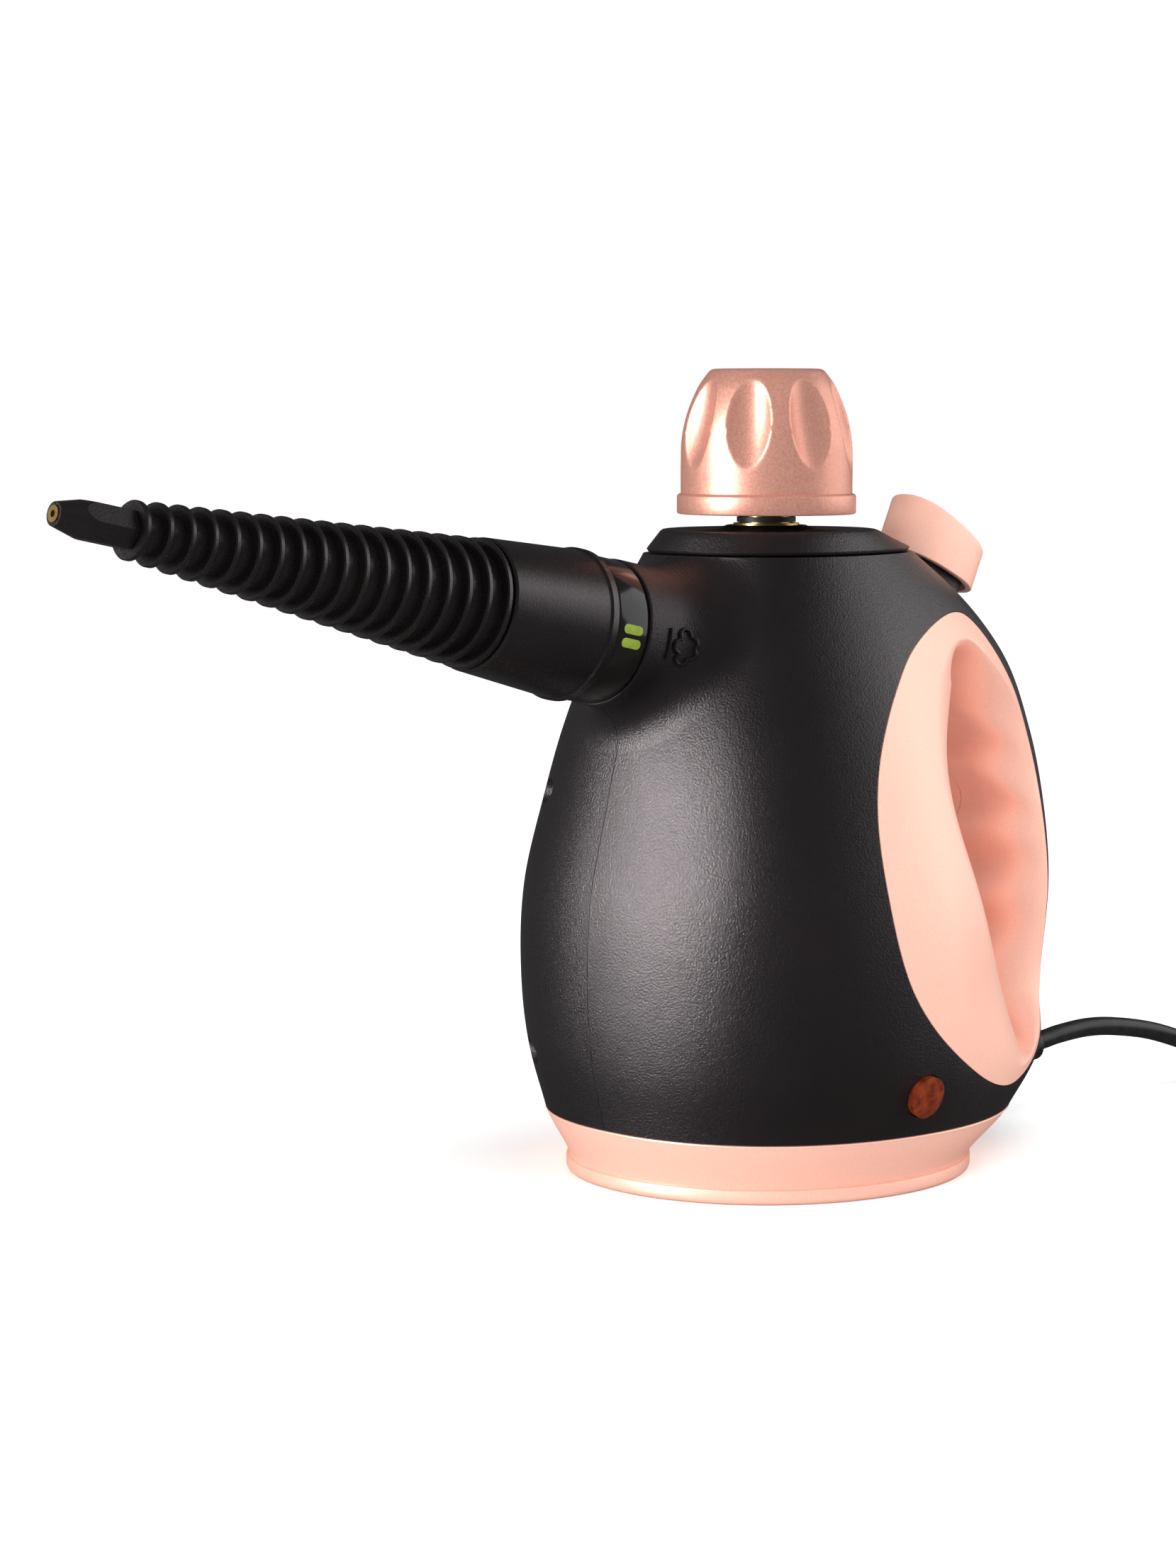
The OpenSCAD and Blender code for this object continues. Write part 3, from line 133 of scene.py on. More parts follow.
def splinePoints(points, steps, closed=False):
    p = [np.array(q, float) for q in points]
    n = len(p)

    def near(i):
        return p[i % n] if closed else p[min(max(i, 0), n - 1)]
    out = []
    for i in range(n if closed else n - 1):
        a, b, c, d = [near(i + k) for k in (-1, 0, 1, 2)]
        for s in (j / steps for j in range(steps)):
            out.append(0.5 * (2 * b + (c - a) * s + (2 * a - 5 * b + 4 * c - d) * s ** 2
                              + (3 * b - a - 3 * c + d) * s ** 3))
    return out if closed else out + [p[-1]]


def turnIndex(place, count):
    return round(math.atan2(place.y, place.x) / (2 * math.pi) * count) % count


# shapes a cylinder primitive to rings of points in millimetres, end to end
def ringSolid(name, rings):
    count, levels = len(rings[0]), len(rings)
    clearSelection()
    bpy.ops.mesh.primitive_cylinder_add(vertices=count, radius=1, depth=1, end_fill_type="NGON")
    piece = bpy.context.object
    piece.name = name
    if levels > 2:
        bpy.ops.object.mode_set(mode="EDIT")
        bpy.ops.mesh.select_mode(type="EDGE")
        bm = bmesh.from_edit_mesh(piece.data)
        for f in bm.faces:
            f.select = False
        for e in bm.edges:
            e.select = abs(e.verts[0].co.z - e.verts[1].co.z) > 0.5
        bmesh.update_edit_mesh(piece.data)
        bpy.ops.mesh.subdivide(number_cuts=levels - 2)
        bpy.ops.object.mode_set(mode="OBJECT")
    for v in piece.data.vertices:
        level = round((v.co.z + 0.5) * (levels - 1))
        v.co = Vector(rings[level][turnIndex(v.co, count)]) * millimetre
    return outward(piece)


# shapes a torus primitive to a closed chain of rings
def ringLoop(name, rings):
    count, levels = len(rings[0]), len(rings)
    clearSelection()
    bpy.ops.mesh.primitive_torus_add(major_segments=count, minor_segments=levels,
                                     major_radius=1, minor_radius=0.3)
    piece = bpy.context.object
    piece.name = name
    for v in piece.data.vertices:
        lift = math.atan2(v.co.z, math.hypot(v.co.x, v.co.y) - 1)
        level = round(lift / (2 * math.pi) * levels) % levels
        v.co = Vector(rings[level][turnIndex(v.co, count)]) * millimetre
    return outward(piece)


def outward(piece):
    selectOnly(piece)
    bpy.ops.object.mode_set(mode="EDIT")
    bpy.ops.mesh.select_all(action="SELECT")
    bpy.ops.mesh.remove_doubles(threshold=1e-7)
    bpy.ops.mesh.normals_make_consistent(inside=False)
    bpy.ops.object.mode_set(mode="OBJECT")
    return piece


def cutBy(piece, tool, operation="DIFFERENCE"):
    selectOnly(piece)
    step = piece.modifiers.new("cut", "BOOLEAN")
    step.operation = operation
    step.solver = "MANIFOLD"
    step.object = tool
    bpy.ops.object.modifier_apply(modifier=step.name)
    bpy.data.objects.remove(tool, do_unlink=True)
    return piece


def smoothShade(piece, degrees=32):
    selectOnly(piece)
    bpy.ops.object.shade_smooth_by_angle(angle=math.radians(degrees))
    return piece


def plainCopy(piece, name):
    return linked(name, piece.data.copy())


def mirrorCopy(piece, name):
    other = plainCopy(piece, name)
    for v in other.data.vertices:
        v.co.y = -v.co.y
    return outward(other)


def circleOn(centre, side, up, radius, count):
    return [Vector(centre) + radius * (math.cos(a) * side + math.sin(a) * up)
            for a in turnsOf(count)]


def roundBar(name, start, end, radius, count=48):
    way = (Vector(end) - Vector(start)).normalized()
    side = way.orthogonal().normalized()
    up = way.cross(side)
    return ringSolid(name, [circleOn(base, side, up, radius, count) for base in (start, end)])


def boxTool(name, low, high):
    clearSelection()
    bpy.ops.mesh.primitive_cube_add(size=1)
    tool = bpy.context.object
    tool.name = name
    for v in tool.data.vertices:
        v.co = Vector([high[k] if v.co[k] > 0 else low[k] for k in range(3)]) * millimetre
    return tool


def prismTool(name, outline, low, high):
    return ringSolid(name, [[(x, y, z) for x, z in outline] for y in (low, high)])


# mains lead: free run, coil and tail on one line, as in the solids
leadSet = {"diameter": 6.0, "loops": 3, "layers": 4, "mid": 36.0, "step": 6.7, "lane": 3.0,
           "coilX": -268.0, "perTurn": 36, "floor": 0.2, "freeSteps": 6, "bevel": 5,
           "free": [(-132, 0, 24.2), (-145, 0, 24.8), (-158, 0.5, 23.8), (-176, 1.4, 20.4),
                    (-196, 2.4, 14), (-214, 3, 7.6), (-230, 3, 3.8)],
           "reliefBack": -80.0, "reliefZ": 18.6, "reliefTilt": 6.0, "reliefLength": 42.0,
           "reliefGrip": 2, "plugRadius": 18.4, "tailStep": 9, "tailCount": 7, "dropCount": 6,
           "seam": 0.2}


def reliefAxis(s):
    tilt = math.radians(s["reliefTilt"])
    return (np.array([s["reliefBack"], 0, s["reliefZ"]]),
            np.array([-math.cos(tilt), 0, math.sin(tilt)]))


def leadPoints(s):
    place, way = reliefAxis(s)
    end = place + way * (s["reliefLength"] - s["reliefGrip"])
    out = s["mid"] + s["step"] * s["loops"] / 2
    centre = np.array([s["coilX"], s["lane"] + out, s["diameter"] / 2 + s["floor"]])

    def onCoil(u):
        layer = math.floor(min(u / s["loops"], s["layers"] - 0.001))
        f = u / s["loops"] - layer
        radius = s["mid"] + s["step"] * s["loops"] * (0.5 - f if layer % 2 == 0 else f - 0.5)
        climbs = [smooth(2 * (u - k * s["loops"]) + 0.5) for k in range(1, s["layers"])]
        a = 2 * math.pi * u + math.pi / 2
        return centre + np.array([radius * math.cos(a), -radius * math.sin(a),
                                  s["step"] * sum(climbs)])
    turns = s["loops"] * s["layers"]
    coil = [onCoil(i / s["perTurn"]) for i in range(s["perTurn"] * turns + 1)]
    back = np.array([-1.0, 0, 0])
    drop = centre[2] + s["step"] * (s["layers"] - 1) - s["plugRadius"] - s["floor"]
    tail = [coil[-1] + back * s["tailStep"] * k
            - np.array([0, 0, drop * smooth(k / s["dropCount"])])
            for k in range(1, s["tailCount"] + 1)]
    leave = [end + way * s["seam"], end + way * s["diameter"]]
    arrive = [coil[0] - back * gap for gap in (s["diameter"] * 3, s["diameter"] + s["seam"])]
    free = splinePoints(leave + s["free"] + arrive, s["freeSteps"])
    line = free + [coil[0] - back * s["diameter"] * 0.5] + coil + tail
    return [p * millimetre for p in line]


leadLine = leadPoints(leadSet)
leadCurve = bpy.data.curves.new("mainsLead", "CURVE")
leadCurve.dimensions = "3D"
leadSpline = leadCurve.splines.new("POLY")
leadSpline.points.add(len(leadLine) - 1)
for point, place in zip(leadSpline.points, leadLine):
    point.co = (*place, 1)
leadCurve.bevel_depth = leadSet["diameter"] / 2 * millimetre
leadCurve.bevel_resolution = leadSet["bevel"]
leadCurve.use_fill_caps = True
mainsLead = linked("mainsLead", leadCurve)


# finishes
def newFinish(name, **values):
    finish = bpy.data.materials.new(name)
    finish.use_nodes = True
    shader = finish.node_tree.nodes["Principled BSDF"]
    for key, value in values.items():
        shader.inputs[key].default_value = value
    return finish, finish.node_tree, shader


def noiseNode(tree, scale, detail=3.0, rough=0.5):
    place = tree.nodes.new("ShaderNodeTexCoord")
    noise = tree.nodes.new("ShaderNodeTexNoise")
    noise.inputs["Scale"].default_value = scale
    noise.inputs["Detail"].default_value = detail
    noise.inputs["Roughness"].default_value = rough
    tree.links.new(place.outputs["Object"], noise.inputs["Vector"])
    return noise


# lets a noise set an input of the shader, between colours at the stops
def feed(tree, shader, socket, noise, stops):
    ramp = tree.nodes.new("ShaderNodeValToRGB")
    while len(ramp.color_ramp.elements) < len(stops):
        ramp.color_ramp.elements.new(0.5)
    for element, (at, colour) in zip(ramp.color_ramp.elements, stops):
        element.position = at
        element.color = (*colour, 1)
    tree.links.new(noise.outputs["Fac"], ramp.inputs["Fac"])
    tree.links.new(ramp.outputs["Color"], shader.inputs[socket])


def addBump(tree, shader, noise, strength, distance):
    bump = tree.nodes.new("ShaderNodeBump")
    bump.inputs["Strength"].default_value = strength
    bump.inputs["Distance"].default_value = distance
    tree.links.new(noise.outputs["Fac"], bump.inputs["Height"])
    tree.links.new(bump.outputs["Normal"], shader.inputs["Normal"])


plasticSet = {"ior": 1.6, "shine": 0.85, "tint": (1, 0.9, 0.92, 1), "broad": 38, "tones": (0.3, 0.75),
              "sheen": (0.25, 0.8), "smoother": 0.08, "rougher": 0.1, "bump": 0.0006}
metallicSet = {"shine": 0.4, "tones": (0.3, 0.72), "sheen": (0.2, 0.8), "smoother": 0.05,
               "rougher": 0.07, "bump": (0.06, 0.0002)}
variedSet = {"tones": (0.3, 0.75), "bump": 0.0003}


def sheenStops(s, rough):
    return zip(s["sheen"], ((rough - s["smoother"],) * 3, (rough + s["rougher"],) * 3))


def grainedPlastic(name, dark, light, rough, grain, depth):
    s = plasticSet
    finish, tree, shader = newFinish(name, **{
        "Roughness": rough, "IOR": s["ior"], "Specular IOR Level": s["shine"],
        "Specular Tint": s["tint"]})
    fine = noiseNode(tree, grain, detail=4, rough=0.6)
    broad = noiseNode(tree, s["broad"], detail=3)
    feed(tree, shader, "Base Color", broad, list(zip(s["tones"], (dark, light))))
    feed(tree, shader, "Roughness", fine, list(sheenStops(s, rough)))
    addBump(tree, shader, fine, depth, s["bump"])
    return finish


def satinMetallic(name, base, light, rough, metal, flakes):
    s = metallicSet
    finish, tree, shader = newFinish(name, **{
        "Metallic": metal, "Roughness": rough, "Specular IOR Level": s["shine"]})
    flake = noiseNode(tree, flakes, detail=2)
    feed(tree, shader, "Base Color", flake, list(zip(s["tones"], (base, light))))
    feed(tree, shader, "Roughness", flake, list(sheenStops(s, rough)))
    addBump(tree, shader, flake, *s["bump"])
    return finish


def variedFinish(name, low, high, scale, rough, depth=0.05, **values):
    finish, tree, shader = newFinish(name, **{"Roughness": rough, **values})
    noise = noiseNode(tree, scale, detail=4)
    feed(tree, shader, "Base Color", noise, list(zip(variedSet["tones"], (low, high))))
    addBump(tree, shader, noise, depth, variedSet["bump"])
    return finish


finishes = {
    "housing": grainedPlastic("housingGrain", (0.0034, 0.0024, 0.0027), (0.0058, 0.0041, 0.0045),
                              0.35, 1700, 0.42),
    "nozzle": grainedPlastic("nozzlePlastic", (0.003, 0.0023, 0.0024), (0.0055, 0.0042, 0.0042),
                             0.3, 1800, 0.1),
    "rose": satinMetallic("roseCoat", (0.89, 0.475, 0.365), (0.945, 0.555, 0.45), 0.44, 0.3, 2600),
    # the cap takes the same rose coat, more metallic, with darker base colours: painted shade standing
    # in for the light the cap misses
    "roseCapShaded": satinMetallic("roseMetalShaded", (0.73, 0.325, 0.24), (0.86, 0.445, 0.35),
                             0.43, 0.68, 1700),
    "gloss": variedFinish("ringGloss", (0.004, 0.0034, 0.0034), (0.008, 0.0065, 0.006),
                          60, 0.12, 0.01),
    "brass": variedFinish("turnedBrass", (0.62, 0.4, 0.12), (0.8, 0.58, 0.25), 500, 0.3,
                          Metallic=1.0),
    "steel": variedFinish("brightSteel", (0.5, 0.5, 0.52), (0.66, 0.66, 0.68), 700, 0.3,
                          Metallic=1.0),
    "alloy": variedFinish("castAlloy", (0.5, 0.5, 0.52), (0.62, 0.62, 0.64), 260, 0.5, 0.2,
                          Metallic=1.0),
    "silicone": variedFinish("redSilicone", (0.25, 0.05, 0.03), (0.33, 0.08, 0.05), 200, 0.55, 0.08),
    "seal": variedFinish("darkSeal", (0.012, 0.011, 0.01), (0.02, 0.018, 0.017), 300, 0.5, 0.08),
    "mark": variedFinish("greenMark", (0.13, 0.19, 0.008), (0.2, 0.27, 0.015), 400, 0.45, 0.02),
    "amber": variedFinish("amberLens", (0.06, 0.009, 0.004), (0.2, 0.032, 0.01), 380, 0.16, 0.03,
                          **{"Specular IOR Level": 0.3}),
    "lamp": variedFinish("lampGlass", (0.7, 0.3, 0.08), (0.85, 0.45, 0.15), 200, 0.2, 0.02),
    "white": variedFinish("ceramicWhite", (0.7, 0.68, 0.62), (0.8, 0.78, 0.73), 300, 0.5),
    "wire": variedFinish("wireRed", (0.2, 0.03, 0.025), (0.28, 0.05, 0.04), 300, 0.45, 0.04),
    "cord": variedFinish("cordSheath", (0.008, 0.008, 0.008), (0.016, 0.015, 0.015), 420, 0.38, 0.06),
}
nodeFinish = {
    "housing": ["trigger_guide", "outlet_spigot", "strain_relief", "cap_retainer", "cap_pegs",
                "trigger_lever", "thermostat", "left_housing", "right_housing", "top_collar"],
    "nozzle": ["ribbed_nozzle", "nozzle_tip"],
    "gloss": ["lock_ring"],
    "rose": ["left_grip_panel", "right_grip_panel", "base_cover", "trigger_button"],
    "roseCapShaded": ["cap_knob"],
    "brass": ["filler_neck", "valve_body", "cap_plug", "jet_insert"],
    "steel": ["base_screws", "housing_screws", "boiler_bolts", "heating_element", "valve_stem",
              "trigger_pin", "trigger_spring", "cap_spring", "plug_pins"],
    "alloy": ["boiler_lower", "boiler_upper"],
    "silicone": ["boiler_gasket", "steam_tube", "nozzle_seal"],
    "seal": ["cap_gasket"],
    "mark": ["lock_marks"],
    "amber": ["indicator_lens"],
    "lamp": ["indicator_lamp"],
    "white": ["thermal_fuse", "terminal_block"],
    "wire": ["wiring"],
    "cord": ["power_cord", "cord_coil", "mains_plug"],
}


def coat(piece, finishName):
    piece.data.materials.clear()
    piece.data.materials.append(finishes[finishName])


def finishPiece(piece, finishName, body, slotName, *replaced):
    coat(piece, finishName)
    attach(piece, body)
    if replaced:
        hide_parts(*replaced)
    return piece


for finishName, names in nodeFinish.items():
    for name in names:
        coat(nodes[name], finishName)
finishPiece(mainsLead, "cord", "base", "cord", "power_cord", "cord_coil")
print("finishes ready")

# sizes of the moulded shells, in millimetres
shell = {"fit": 0.3, "seam": 0.2, "wall": 2.6, "baseH": 18.2, "bodyH": 163.0, "baseFront": 63.2,
         "baseBack": 79.0, "baseW": 128.4, "bellyFront": 69.8, "bellyBack": 116.0, "bellyW": 142.0,
         "topFront": 35.0, "topBack": 51.0, "topW": 69.0, "power": 2.2, "spine": 26.0,
         "rearSharp": 0.15, "rearRound": 0.5523, "barDepth": 34.0, "baseWidest": -7}
topZ = shell["baseH"] + shell["bodyH"]
toolSet = {"wide": 200, "long": 300, "low": -20, "high": 400}


# sizes over the height: shares of the belly between a foot and a top
def heightKeys(foot, belly, shares, top):
    return [(0, foot)] + [(t, k * belly) for t, k in shares] + [(1, top)]


frontKeys = heightKeys(shell["baseFront"], shell["bellyFront"], (
    (0.11, 0.968), (0.26, 1), (0.41, 0.983), (0.56, 0.901), (0.69, 0.822), (0.84, 0.702)),
    shell["topFront"])
backKeys = heightKeys(shell["baseBack"], shell["bellyBack"], (
    (0.07, 0.868), (0.165, 0.935), (0.35, 1), (0.5, 0.991), (0.655, 0.931), (0.81, 0.802),
    (0.92, 0.621)), shell["topBack"])
halfKeys = heightKeys(shell["baseW"] / 2, shell["bellyW"], (
    (0.11, 0.486), (0.26, 0.5), (0.41, 0.49), (0.56, 0.452), (0.69, 0.408), (0.84, 0.335)),
    shell["topW"] / 2)
widestKeys = [(0, shell["baseWidest"]), (0.26, -4), (0.56, -2), (1, 0)]
fullKeys = [(0, 1), (0.085, 0.55), (0.2, 0.1), (0.38, 0), (0.75, 0), (0.9, 0.3), (1, 0.6)]


# a section's rear is one curve, from pointed to round
def rearControls(half, full):
    return (mixed(shell["rearSharp"], shell["rearRound"], full),
            mixed(min(shell["spine"], half), shell["rearRound"] * half, full))


def rearLength(k, t):
    return 3 * k * t * (1 - t) ** 2 + 3 * t ** 2 * (1 - t) + t ** 3


def rearHalf(half, k, t):
    return half * ((1 - t) ** 3 + 3 * t * (1 - t) ** 2) + 3 * k * t ** 2 * (1 - t)


def sectionPoints(front, back, half, widest, full, power, count):
    k1, k2 = rearControls(half, full)
    quarter = count // 4
    side = []
    for a in (math.pi / 2 * i / quarter for i in range(quarter)):
        side.append((widest + (front - widest) * math.cos(a) ** (2 / power),
                     half * math.sin(a) ** (2 / power)))
    for t in (i / quarter for i in range(quarter + 1)):
        side.append((widest - (widest + back) * rearLength(k1, t), rearHalf(half, k2, t)))
    return side + [(x, -y) for x, y in side[-2:0:-1]]


def shareOf(z):
    return (z - shell["baseH"]) / shell["bodyH"]


def bodyRing(z, inset, count):
    t = shareOf(z)
    front, back, half = [curveAt(keys, t) - inset for keys in (frontKeys, backKeys, halfKeys)]
    line = sectionPoints(front, back, half, curveAt(widestKeys, t), curveAt(fullKeys, t),
                         shell["power"], count)
    return [(x, y, z) for x, y in line]


# half width of the body at a place on its side
def bodyY(x, z):
    t = shareOf(z)
    widest, half, power = curveAt(widestKeys, t), curveAt(halfKeys, t), shell["power"]
    if x > widest:
        ahead = (x - widest) / (curveAt(frontKeys, t) - widest)
        return half * (1 - ahead ** power) ** (1 / power)
    k1, k2 = rearControls(half, curveAt(fullKeys, t))
    want = (widest - x) / (widest + curveAt(backKeys, t))
    return rearHalf(half, k2, lastHolding(0.0, 1.0, lambda m: rearLength(k1, m) < want, steps=26))


# outline of the grip panels
leafSet = {"low": 37.0, "high": 114.0, "spine": 20.0, "steps": 16,
           "rear": (0.035, 0.264, 0.493, 0.722, 0.922),
           "front": [(-0.45, 1.105), (-0.12, 1.03), (0.09, 0.807), (0.152, 0.521), (0.09, 0.217),
                     (-0.11, 0.011), (-0.4, -0.09)]}


def leafPoints(s):
    front = [(x * shell["bellyBack"], s["low"] + z * s["high"]) for x, z in s["front"]]
    heights = [s["low"] + share * s["high"] for share in s["rear"]]
    rear = [(s["spine"] - curveAt(backKeys, shareOf(z)), z) for z in heights]
    return splinePoints(front + rear, s["steps"], True)


leafLine = leafPoints(leafSet)
leafArea = sum(a[0] * b[1] - b[0] * a[1] for a, b in zip(leafLine, leafLine[1:] + leafLine[:1]))
leafTurn = 1 if leafArea < 0 else -1


def grownLine(line, grow):
    n = len(line)
    out = []
    for i in range(n):
        way = line[(i + 1) % n] - line[i - 1]
        way = way / np.linalg.norm(way)
        out.append(line[i] + grow * np.array([-way[1], way[0]]) * leafTurn)
    return out


# housing halves
housingSet = {"around": 176, "levels": 104, "innerAround": 96, "innerLevels": 40, "innerDrop": 1,
              "neckEnd": 66.5, "neckR": 21.0, "neckAround": 128, "fillet": 12.0, "filletSteps": 18,
              "neckEdge": ((0, 0.9), (0.08, 0.4), (0.35, 0.08), (0.7, 0)), "neckTop": 0.05,
              "tilt": 11.4, "axisZ": 147.6, "reach": 140.0, "sink": 0.1, "seat": 17.3,
              "boreAround": 96, "boreBack": 40, "boreOut": 10, "topHole": 14.6, "topReach": 10}
nozzleTurn = (Matrix.Translation((0, 0, housingSet["axisZ"]))
              @ Matrix.Rotation(math.radians(90 - housingSet["tilt"]), 4, "Y"))


def onNozzle(r, a, s):
    return nozzleTurn @ Vector((r * math.cos(a), r * math.sin(a), s))


def turnedOnNozzle(profile, count):
    return [[onNozzle(r, a, s) for a in turnsOf(count)] for r, s in profile]


# distance along the nozzle's axis at which the neck leaves the body
def footAt(r, a):
    def inBody(along):
        p = onNozzle(r, a, along)
        t = shareOf(min(p.z, topZ))
        w = curveAt(widestKeys, t)
        ahead = max(p.x - w, 0) / (curveAt(frontKeys, t) - w)
        aside = abs(p.y) / curveAt(halfKeys, t)
        return ahead ** shell["power"] + aside ** shell["power"] <= 1
    return lastHolding(0.0, housingSet["reach"], inBody, steps=22)


def levelHeights(low, high, count):
    return [mixed(low, high, i / (count - 1)) for i in range(count)]


def makeNeck(s):
    turns = turnsOf(s["neckAround"])
    rings = [[onNozzle(s["neckR"], a, shell["wall"]) for a in turns]]
    for q in (math.pi / 2 * i / s["filletSteps"] for i in range(s["filletSteps"] + 1)):
        r = s["neckR"] + s["fillet"] * (1 - math.sin(q))
        lift = s["fillet"] * (1 - math.cos(q)) if q else -s["sink"]
        rings.append([onNozzle(r, a, footAt(r, a) + lift) for a in turns])
    for inset, back in s["neckEdge"]:
        rings.append([onNozzle(s["neckR"] - inset, a, s["neckEnd"] - back) for a in turns])
    neck = ringSolid("neckTool", rings)
    low = (-toolSet["long"], -toolSet["wide"], topZ - s["neckTop"])
    return cutBy(neck, boxTool("neckTop", low, (toolSet["long"], toolSet["wide"], toolSet["high"])))


def makeHousing(s):
    heights = levelHeights(shell["baseH"] + shell["seam"], topZ, s["levels"])
    outer = ringSolid("housingOuter", [bodyRing(z, 0, s["around"]) for z in heights])
    cutBy(outer, makeNeck(s), "UNION")
    heights = levelHeights(shell["baseH"] - s["innerDrop"], topZ - shell["wall"], s["innerLevels"])
    cutBy(outer, ringSolid("housingInner",
                           [bodyRing(z, shell["wall"], s["innerAround"]) for z in heights]))
    bore = [(s["seat"], s["neckEnd"] - s["boreBack"]), (s["seat"], s["neckEnd"] + s["boreOut"])]
    cutBy(outer, ringSolid("boreTool", turnedOnNozzle(bore, s["boreAround"])))
    leaf = grownLine(leafLine, shell["fit"])
    cutBy(outer, prismTool("leafTool", leaf, -toolSet["wide"], toolSet["wide"]))
    ends = [(0, 0, topZ + k * s["topReach"]) for k in (-1, 1)]
    return cutBy(outer, roundBar("topTool", *ends, s["topHole"]))


housing = makeHousing(housingSet)
print("housing made, faces:", len(housing.data.polygons))

# frame of the trigger
triggerSet = {"tilt": 25.0, "ahead": 0.4, "above": 0.7}


def onTrigger(x, y, z):
    c, d = [f(math.radians(triggerSet["tilt"])) for f in (math.cos, math.sin)]
    return Vector((triggerSet["ahead"] - shell["topBack"] - x * c - z * d, -y,
                   topZ + triggerSet["above"] - x * d + z * c))


def stadiumLine(length, width, count=24):
    r = width / 2
    line = []
    for middle, start in ((length - r, -0.5), (r, 0.5)):
        for a in (math.pi * (i / count + start) for i in range(count + 1)):
            line.append((middle + r * math.cos(a), r * math.sin(a)))
    return line


def ovalLine(length, width, count, power):
    return [(length / 2 + length / 2 * signedPower(math.cos(a), power),
             width / 2 * signedPower(math.sin(a), power)) for a in turnsOf(count)]


# openings of the housing for the pieces set into it
openingSet = {"guideX": 4.2, "guideLength": 27.4, "guideW": 16.8, "guideDepth": (-13, 27),
              "gland": 5.6, "glandReach": 40, "lensR": 6.5, "lensX": 2.0, "lensZ": 30.0,
              "lensTilt": 14, "lensReach": 15, "lensAround": 64, "frontScrews": (112, 36),
              "rearScrews": (120, 46), "screwIn": 10.5, "barShare": 2.6, "headR": 3.8,
              "headDepth": (-9, -109), "headAround": 40}


def glandTool(s):
    place, way = [Vector(v) for v in reliefAxis(leadSet)]
    return roundBar("glandTool", place - way * s["glandReach"], place + way * s["glandReach"],
                    s["gland"])


def cutOpenings(piece, s):
    gap = shell["fit"]
    guide = [(s["guideX"] - gap + x, y)
             for x, y in stadiumLine(s["guideLength"] + 2 * gap, s["guideW"] + 2 * gap)]
    rings = [[onTrigger(x, y, z) for x, y in guide] for z in s["guideDepth"]]
    cutBy(piece, ringSolid("guideTool", rings))
    cutBy(piece, glandTool(s))


def splitHalves(piece, s):
    left = plainCopy(piece, "leftShell")
    right = piece
    right.name = "rightShell"
    gap, far = shell["seam"] / 2, toolSet
    cutBy(left, boxTool("keepLeft", (-far["long"], gap, far["low"]),
                        (far["long"], far["wide"], far["high"])), "INTERSECT")
    cutBy(right, boxTool("keepRight", (-far["long"], -far["wide"], far["low"]),
                         (far["long"], -gap, far["high"])), "INTERSECT")
    lean = math.radians(s["lensTilt"])
    face = Vector((s["lensX"], curveAt(halfKeys, shareOf(s["lensZ"])), s["lensZ"]))
    way = Vector((0, math.cos(lean), -math.sin(lean))) * s["lensReach"]
    cutBy(left, roundBar("lensTool", face - way, face + way, s["lensR"], s["lensAround"]))
    spots = [(curveAt(frontKeys, shareOf(z)) - s["screwIn"], z) for z in s["frontScrews"]]
    spots += [(shell["barDepth"] / s["barShare"] - curveAt(backKeys, shareOf(z)), z)
              for z in s["rearScrews"]]
    for x, z in spots:
        ends = [(x, y, z) for y in s["headDepth"]]
        cutBy(right, roundBar("screwTool", *ends, s["headR"], s["headAround"]))
    return left, right


cutOpenings(housing, openingSet)
leftShell, rightShell = splitHalves(housing, openingSet)
finishPiece(smoothShade(leftShell), "housing", "base", "black_plastic", "left_housing")
finishPiece(smoothShade(rightShell), "housing", "base", "black_plastic", "right_housing")
print("housing halves made, faces:", len(leftShell.data.polygons), len(rightShell.data.polygons))

# grip panels: from the outline over the lip into the finger opening, and back inside
gripSet = {"low": leafSet["low"], "high": leafSet["high"], "width": 35.0, "square": 0.8,
           "flare": 1.3, "spread": 3, "rimAt": 0.43, "grooves": 4, "grooveDepth": 4.8,
           "grooveFade": 46.0, "grooveStart": 0.14, "grooveSpan": 0.72, "rearShare": 0.75,
           "frontDeep": [(0, -0.54), (0.5, -0.414), (1, -0.4)],
           "frontFace": [(0, -0.44), (0.35, -0.26), (0.75, -0.135), (1, -0.2)],
           "rearFace": [(0, -0.52), (0.5, -0.62), (1, -0.5)],
           "cornerShare": 0.75, "cornerOut": 0.5, "cornerSide": 0.97, "barReach": 0.3,
           "reach": (0.5, 0.8), "reachFrom": 0.35, "reachOver": 0.3,
           "lip": [(0, 0.72), (0.1, 0.74), (0.25, 0.84), (0.4, 0.72), (0.5, 0.4), (0.62, 0.08),
                   (0.75, 0.05), (0.87, 0.12), (0.94, 0.45), (1, 0.72)],
           "roll": [(0, 0.45), (0.1, 0), (0.43, 0), (0.52, 0.45), (0.61, 1), (0.89, 1), (1, 0.45)],
           "outer": ([i / 10 for i in range(10)] + [1 + i / 16 for i in range(16)]
                     + [2 + i / 4 for i in range(9)]),
           "inner": (4, 3, 2, 1.5, 1, 0.5, 0)}


def gripFront(s, f, g):
    return mixed(curveAt(g["frontDeep"], s), curveAt(g["frontFace"], s), f) * shell["bellyBack"]


def gripBack(s, f, g, share):
    z = g["low"] + s * g["high"]
    along = (s - g["grooveStart"]) / g["grooveSpan"]
    wave = 0.5 - 0.5 * math.cos(2 * math.pi * g["grooves"] * along) if 0 < along < 1 else 0
    deep = min(shell["barDepth"] - curveAt(backKeys, shareOf(z)),
               gripFront(s, 0, g) - 0.5 * g["width"]) - g["grooveDepth"] * wave * share
    return mixed(deep, curveAt(g["rearFace"], s) * shell["bellyBack"], g["rearShare"] * f)


